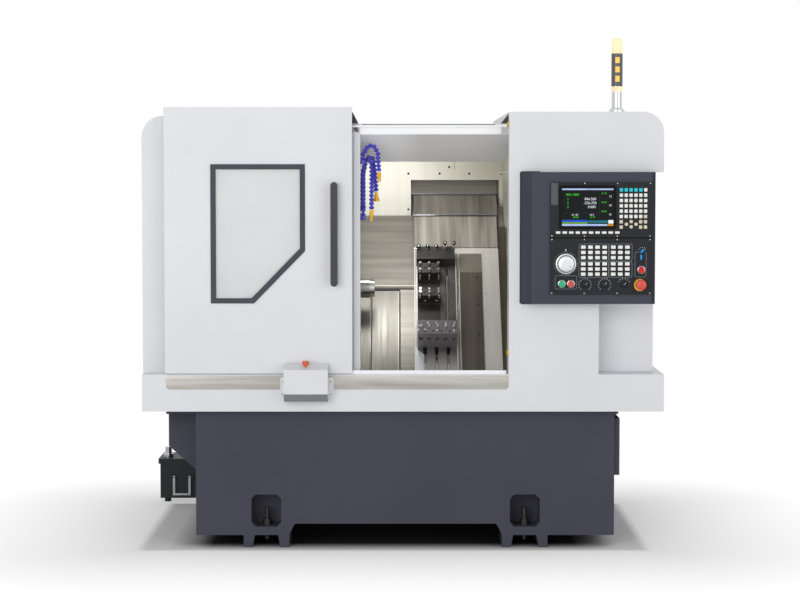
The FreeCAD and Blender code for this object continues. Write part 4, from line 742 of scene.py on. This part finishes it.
fitted("clamp_sockets", onBed(0.0), moved(turned(socketProfile, 18), *clampSpots, *drillSpots), "chromePlate",
    "cross_slide")
smallSpots = [
    (89.4, 389, 50.0), (126, 389, 50.0), (89.4, 523, 50.0), (126, 523, 50.0), (88, 150, 86.0), (121, 150, 86.0),
    (153, 150, 86.0), (186, 150, 86.0)]
# black discs for the small holes in the blocks: painted shade inside the holes
fitted("block_holes", onBed(0.0), moved(turned([(3.6, -0.3), (3.6, 0.5), (2.7, 0.8), (2.4, 0.3)], 16), *smallSpots),
    "bezelAbs", "cross_slide")


def onFace(up):  # (x, out of the slope, height) drawn on a face that looks down the slope
    return lambda points: onSlope(np.stack([points[..., 0], up - points[..., 2], points[..., 1]], -1))


# the seats under the tool blocks, the lips under them and the clamping screws' shanks
seatSteps = [(0, -0.3), (0, 0.6)]
fitted("block_seats", onBed(0.0), [strip(60.5, 152, 209, 368, seatSteps), strip(60.5, 152, 432, 494, seatSteps)],
    "blackOxide", "cross_slide")
shankSteps = [(0, -0.4), (0, 1.2), (0.9, 2.4), (1.7, 2.6)]
shankColumns = {"upper": (70.5, 108.0, 146.2), "middle": (69.6, 106.8, 145.6)}
shanks = {
    "shanks_upper": (onFace(494.8), "upper", 2.6, 9, 39),
    "shanks_middle": (onFace(369.8), "middle", 2.6, 35, 55),
    "shanks_top": (onBed(50.0), "upper", 2.4, 499, 521),
}
for name, (how, column, reach, low, high) in shanks.items():
    stems = [strip(x - reach, x + reach, low, high, shankSteps, 2.0) for x in shankColumns[column]]
    fitted(name, how, stems, "turnedAluminium", "cross_slide")
fitted("face_screws", onFace(369.8),
    moved(turned([(4.2, -0.3), (4.2, 0.8), (3.3, 1.2), (2.2, 1.0)], 16), (90.1, 19.9), (136.6, 19.9)),
    "turnedAluminium", "cross_slide")
lowerScrews = [
    (99.1, 193.3, 86.0), (133.7, 193.3, 86.0), (170.5, 191, 86.0), (205.1, 193.3, 86.0), (64.1, 177.6, 86.0),
    (62.0, 157, 86.0), (87.7, 157, 86.0), (135.2, 154.0, 86.0), (202.4, 151.3, 86.0)]
fitted("lower_screws", onBed(0.0),
    moved(turned([(3.8, -0.4), (3.8, 2.2), (2.9, 3.2), (1.5, 3.3), (1.4, 2.2)], 16), *lowerScrews),
    "turnedAluminium", "cross_slide")
makePiece("block_lips", placed(onFace(369.8), [strip(60.5, 151.5, 0.5, 3.5, [(0, -0.3), (0, 1.0)])])
    + placed(onFace(494.8), [strip(60.5, 151.5, 0.5, 3.0, [(0, -0.3), (0, 1.0)])]), "castIron", "cross_slide")

# knurled adjusting screws along the top block, two of them taller
knurl = {
    "places": [(66, 634), (102, 634), (138, 634), (174, 634), (210, 634)], "tall": (3, 4), "rise": 19.0, "out": 60.0}
knurlHead = [(6.2, -3.0), (7.6, -2.4), (7.9, 3.4), (7.2, 4.6), (5.0, 4.9), (4.4, 3.6)]
knurlCore = [(4.3, 2.0), (4.3, 3.9), (3.2, 4.4), (1.4, 3.9)]
knurlStem = [(3.6, -22.0), (3.6, -2.0)]
heads = [
    (x, up, knurl["out"] + (knurl["rise"] if k in knurl["tall"] else 0.0))
    for k, (x, up) in enumerate(knurl["places"])]
fitted("adjusting_heads", onBed(0.0), moved(turned(knurlHead, 24), *heads), "bezelAbs", "cross_slide")
fitted("adjusting_cores", onBed(0.0), moved(turned(knurlCore, 18), *heads) + moved(turned(knurlStem, 12), *heads[3:]),
    "chromePlate", "cross_slide")

# the folded lip at the lower edge of each sliding cover, and under it a dark strip: painted shadow of the gap below
# the lip
lips = {
    "x_cover_low": {"body": "cross_slide", "edge": (48, 394, 686), "out": -10.0, "under": -13.0},
    "x_cover_middle": {"body": "x_cover", "edge": (46, 398, 875), "out": -6.0, "under": -9.6},
    "carriage": {"body": "carriage", "edge": (37, 406, 996), "out": -2.0, "under": -5.6},}
for name, lip in lips.items():
    near, far, up = lip["edge"]
    fitted("lip_" + name, onBed(lip["out"]),
        [strip(near, far, up - 0.6, up + 6.5, [(0, -0.4), (0, 0.8), (1.2, 1.5), (3.0, 1.6)])], "chromePlate",
        lip["body"])
    fitted("lip_shadow_" + name, onBed(lip["under"]),
        [strip(near + 2, far - 2, up - 4.6, up - 0.8, [(0, 0), (0, 0.9), (0.6, 1.4)])], "sealRubber", lip["body"])

# the rear shield's screws and its joint
shield = {
    "y": 962.0,
    "screws": [(24.2, 1439.3), (156.9, 1439.3), (282.7, 1439.3), (416.6, 1439.3), (24.3, 1287.3), (415.8, 1287.3)]}
fitted("shield_screws", onFront(shield["y"]),
    moved(turned([(4.6, -0.3), (4.6, 1.6), (3.4, 2.8), (1.6, 3.0), (1.5, 1.8)], 20), *shield["screws"],
        (197.2, 1467.3, -3.0)),
    "bezelAbs")
fitted("shield_joint", onFront(965.0), [strip(219.5, 221.0, 1455, 1545, thinSteps)], "sealRubber")

# coolant hoses: ball-jointed beads carried along straight runs joined by arcs; points are (x, down) at one depth
hoseLook = {"side": -153.7, "roof": 1628.0, "pitch": 15.5, "foot": 16.0}
hoseRuns = [
    {"depth": 96, "bend": 18, "run": [(0, 139), (0, 118), (20, 84), (42, 84), (57, 112), (61.6, 185)]},
    {"depth": 119, "bend": 13, "run": [(0, 354), (0, 190), (7, 141), (31, 141), (34, 190), (32.4, 331)]},
    {"depth": 142, "bend": 14, "run": [(0, 312), (0, 190), (14, 128), (38, 128), (46, 180), (50.3, 262)]},
]
beadProfile = [
    (0.0, 4.6), (0.06, 6.6), (0.16, 8.7), (0.3, 9.9), (0.42, 10.0), (0.56, 9.3), (0.68, 7.6), (0.76, 5.6),
    (0.84, 4.6)]


def bentPath(run, bend):  # the run's points with each corner rounded by an arc of this radius
    run = np.array(run, float)
    path = [run[:1]]
    for before, corner, after in zip(run, run[1:], run[2:]):
        inward = (before - corner) / np.linalg.norm(before - corner)
        outward = (after - corner) / np.linalg.norm(after - corner)
        halfAngle = math.acos(np.clip(inward @ outward, -1, 1)) / 2
        middle = (inward + outward) / np.linalg.norm(inward + outward)
        centre = corner + middle * bend / math.sin(halfAngle)
        spread = np.linspace(-1, 1, 13)[:, None] * (math.pi / 2 - halfAngle)
        across = outward - inward
        across /= np.linalg.norm(across)
        path.append(centre - middle * bend * np.cos(spread) + across * bend * np.sin(spread))
    path.append(run[-1:])
    return np.concatenate(path)


def beaded(look):
    # rings of the bead profile set square to the path, at each bead's shares of the pitch
    path = bentPath(look["run"], look["bend"])
    lengths = np.concatenate([[0], np.cumsum(np.linalg.norm(np.diff(path, axis=0), axis=1))])
    count = round(lengths[-1] / hoseLook["pitch"])
    pitch = lengths[-1] / count
    shares, radii = np.array(beadProfile).T
    stations = (np.arange(count)[:, None] + shares[None, :]).ravel() * pitch
    radius = np.tile(radii, count)
    spots = np.stack([np.interp(stations, lengths, path[:, k]) for k in (0, 1)], -1)
    ahead = np.stack(
        [np.interp(stations + 1, lengths, path[:, k]) - np.interp(stations - 1, lengths, path[:, k]) for k in (0, 1)],
        -1)
    ahead /= np.linalg.norm(ahead, axis=1)[:, None]
    turn = np.arange(20) * 2 * math.pi / 20
    across = np.stack([ahead[:, 1], -ahead[:, 0]], -1)
    flat = spots[:, None, :] + across[:, None, :] * (radius[:, None] * np.cos(turn))[:, :, None]
    depth = look["depth"] + radius[:, None] * np.sin(turn)
    rings = np.stack([hoseLook["side"] + flat[..., 0], depth, hoseLook["roof"] - flat[..., 1]], -1)
    ends = [np.broadcast_to(rings[k].mean(0), rings[:1].shape) for k in (0, -1)]
    return np.concatenate([ends[0], rings, ends[1]])


hoseFeet = [
    turned([(10.0, 0.0), (10.0, 15.0), (8.6, hoseLook["foot"])], 24)
    + (hoseLook["side"], look["depth"], hoseLook["roof"] - look["run"][0][1] - hoseLook["foot"])
    for look in hoseRuns]
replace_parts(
    makePiece("hose_beads", [beaded(look) for look in hoseRuns] + hoseFeet, "hoseNylon", "frame"), "coolant_hoses")

print("tower, box and edges")
tower = {"x": 835.0, "y": 231.0, "windows": (1878.4, 1842.4, 1806.4), "half": (8.6, 11.6)}
litScreen("amberLit", "#F7BE62", 0.9, 0.3)
lensSteps = [(0, -0.4), (0, 1.2), (0.8, 2.0), (2.2, 2.4)]
fitted("tower_ring", lambda points: points + (tower["x"], 250.0, 1776.4),
    [turned([(21.6, -20), (22.6, -19), (22.8, -12), (22.2, -10), (22.8, -8), (22.6, -1), (21.6, 0)], 40)],
    "domeLens")
fitted("tower_windows", onFront(tower["y"]),
    [ringed((tower["x"], z), tower["half"], 2.0, lensSteps) for z in tower["windows"]], "amberLit")
boxTabs = {"y": -6.0, "places": [(-460, 597), (-460, 645), (-274.5, 597), (-274.5, 645)]}
fitted("box_tab_screws", onFront(boxTabs["y"]),
    moved(turned([(3.8, -0.3), (3.8, 1.2), (2.8, 2.2), (1.3, 2.3), (1.2, 1.4)], 18), *boxTabs["places"]),
    "groundSteel")
fitted("roof_seal", onFront(70.8), [strip(-158, 352, 1621.2, 1625.4, [(0, -0.2), (0, 0.6)])], "sealRubber")


def onBack(points):  # (x, z, height) drawn on the rear cover
    return np.stack([points[..., 0], sides["back"] + points[..., 2], points[..., 1]], -1)


def onSide(x, way):  # (y, z, height) drawn on an upright face at x, height towards way
    return lambda points: np.stack([x + way * points[..., 2], points[..., 0], points[..., 1]], -1)


def frameLines(left, right, low, high, wide=2.2):  # the four seams round a panel
    flat = [(0, -0.2), (0, 0.3)]
    return [
        strip(left, right, low, low + wide, flat), strip(left, right, high - wide, high, flat),
        strip(left, left + wide, low, high, flat), strip(right - wide, right, low, high, flat)]


def louvres(left, right, low, count, pitch=19.0):  # pressed slats, each standing out at its lower edge
    slats = []
    for k in range(count):
        z = low + k * pitch
        slats.append(np.concatenate([
            strip(left, right, z, z + 11, [(0, -0.2), (0, 0.5)], 2.0)[:3],
            strip(left + 2, right - 2, z + 0.8, z + 3.4, [(0, 2.4), (0.6, 2.8)], 1.0)[1:]]))
    return slats


def slots(left, right, low, count, pitch=19.0):
    # black strips under the slats, painted shade of the louvres' openings
    return [
        strip(left + 4, right - 4, low + k * pitch - 2.6, low + k * pitch, [(0, -0.2), (0, 0.3)])
        for k in range(count)]


# seams, louvres and latches of the sides and the back, and black strips under the louvres: painted shade of their
# openings
sides = {
    "back": 1400.0, "left": -1000.0, "right": 966.0, "backPanel": (-880, 120, 700, 1560),
    "backDoor": (160, 880, 700, 1400), "sidePanel": (420, 1250, 720, 1500), "rightPanel": (420, 1250, 720, 1400)}
latchProfile = [(13.0, -0.3), (13.0, 1.0), (11.6, 2.0), (5.0, 2.2), (4.6, 1.2)]
headProfile = [(4.5, -0.3), (4.5, 0.8), (3.4, 1.8), (1.6, 2.0), (1.5, 1.2)]
leftSide, rightSide = onSide(sides["left"], -1), onSide(sides["right"], 1)
fitted("back_seams", onBack, frameLines(*sides["backPanel"]) + frameLines(*sides["backDoor"]), "sealRubber")
makePiece("side_seams", placed(leftSide, frameLines(*sides["sidePanel"]))
    + placed(rightSide, frameLines(*sides["rightPanel"])), "sealRubber", "frame")
ventRows = {
    "back": [
        (-820, -620, 1290), (-120, 60, 1290), (220, 420, 760), (620, 820, 760), (220, 420, 1180), (620, 820, 1180)],
    "side": [(520, 720, 780), (950, 1150, 780)]}
fitted("back_louvres", onBack, [slat for row in ventRows["back"] for slat in louvres(*row, 9)], "housingPowderCoat")
fitted("back_louvre_shade", onBack, [slot for row in ventRows["back"] for slot in slots(*row, 9)], "blackAbs")
for way, side in (("left", leftSide), ("right", rightSide)):
    fitted(
        f"{way}_louvres", side, [slat for row in ventRows["side"] for slat in louvres(*row, 9)], "housingPowderCoat")
    fitted(f"{way}_louvre_shade", side, [slot for row in ventRows["side"] for slot in slots(*row, 9)], "blackAbs")
latchSpots = [(200, 880), (200, 1220), (-840, 860), (80, 860), (-840, 1400), (80, 1400)]
fitted("back_latches", onBack, moved(turned(latchProfile, 28), *latchSpots), "chromePlate")
fitted("back_screws", onBack,
    moved(turned(headProfile, 16), *[(x, z) for x in (-960, -480, 140, 600, 930) for z in (600, 690, 1590)]),
    "groundSteel")
sideSpots = [(y, z) for y in (450, 835, 1220) for z in (750, 1370)]
makePiece("side_screws", placed(leftSide, moved(turned(headProfile, 16), *sideSpots))
    + placed(rightSide, moved(turned(headProfile, 16), *sideSpots)), "groundSteel", "frame")
# closures behind the roof steps and over the alcove's floor
fitted("rear_closures", lambda points: np.stack([points[..., 0], 1392.0 + points[..., 2], points[..., 1]], -1),
    [
        slab([(-930, 1600), (-203, 1600), (-203, 1654), (-930, 1654), (-962, 1640)], 0, 2.5),
        slab([(406, 1600), (925, 1600), (965, 1625), (940, 1656), (905, 1668), (406, 1668)], 0, 2.5)],
    "housingPowderCoat")
fitted("alcove_floor", onTop(670.4), [strip(744, 964, 68, 122, [(0, -1.8), (0, 0.8)])], "housingPowderCoat")

print("floor")
floorLook = {
    "size": 60.0, "colour": "#FAF9F7", "worn": "#F5F4F2", "shaded": "#2C2C2B",
    "reach": (0.95, 0.56, 0.0), "behind": 0.10, "lit": 0.40, "rim": 0.04, "far": 0.85}
half = floorLook["size"] / 2
floorMesh = bpy.data.meshes.new("floor")
floorMesh.from_pydata([(-half, -half, 0), (half, -half, 0), (half, half, 0), (-half, half, 0)], [], [(0, 1, 2, 3)])
floor = bpy.data.objects.new("floor", floorMesh)
scene.collection.objects.link(floor)
tree, shader = newMaterial("sealedFloor", {"Roughness": 0.9, "Specular IOR Level": 0.1})
where = patternOn(tree)
cloud = noise(tree, 900, 3, where)
tone = mixed(tree, floorLook["colour"], floorLook["worn"], cloud.outputs["Fac"])
# how far a place lies outside the machine's footprint; the floor fades to white from there, and below the machine it
# has a dark tone, a painted shadow
shifted = addNode(tree, "VectorMath", {"operation": "ADD", 1: (0.0, floorLook["behind"], 0.0)}, {0: where})
folded = addNode(tree, "VectorMath", {"operation": "ABSOLUTE"}, {0: shifted.outputs[0]})
apart = addNode(tree, "VectorMath", {"operation": "SUBTRACT", 1: floorLook["reach"]}, {0: folded.outputs[0]})
outside = addNode(tree, "VectorMath", {"operation": "MAXIMUM", 1: (0.0, 0.0, 0.0)}, {0: apart.outputs[0]})
away = addNode(tree, "VectorMath", {"operation": "LENGTH"}, {0: outside.outputs[0]})
inside = addNode(tree, "SeparateXYZ", links={0: apart.outputs[0]})
wide = mapped(tree, inside.outputs[0], -0.08, -0.25)
deep = mapped(tree, inside.outputs[1], 0.0, -0.14)
below = addNode(tree, "Math", {"operation": "MULTIPLY"}, {0: wide.outputs[0], 1: deep.outputs[0]})
# the floor under the machine is painted the shaded tone: painted shadow
tone = addNode(
    tree, "MixRGB", {"Color2": toLinear(floorLook["shaded"])}, {"Fac": below.outputs[0], "Color1": tone.outputs[0]})
tree.links.new(tone.outputs[0], shader.inputs["Base Color"])
rim = mapped(tree, away.outputs["Value"], 0, floorLook["rim"], 0, floorLook["lit"])
spread = mapped(tree, away.outputs["Value"], floorLook["rim"], floorLook["far"], 0, 1.0 - floorLook["lit"])
fade = addNode(tree, "Math", {"operation": "ADD"}, {0: rim.outputs[0], 1: spread.outputs[0]})
rays = addNode(tree, "LightPath")
share = addNode(tree, "Math", {"operation": "MULTIPLY"}, {0: fade.outputs[0], 1: rays.outputs["Is Camera Ray"]})
white = addNode(tree, "Emission", {"Color": (1, 1, 1, 1), "Strength": 1.0})
blend = addNode(tree, "MixShader", links={0: share.outputs[0], 1: shader.outputs[0], 2: white.outputs[0]})
tree.links.new(blend.outputs[0], tree.nodes["Material Output"].inputs["Surface"])
floorMesh.materials.append(finishes["sealedFloor"])
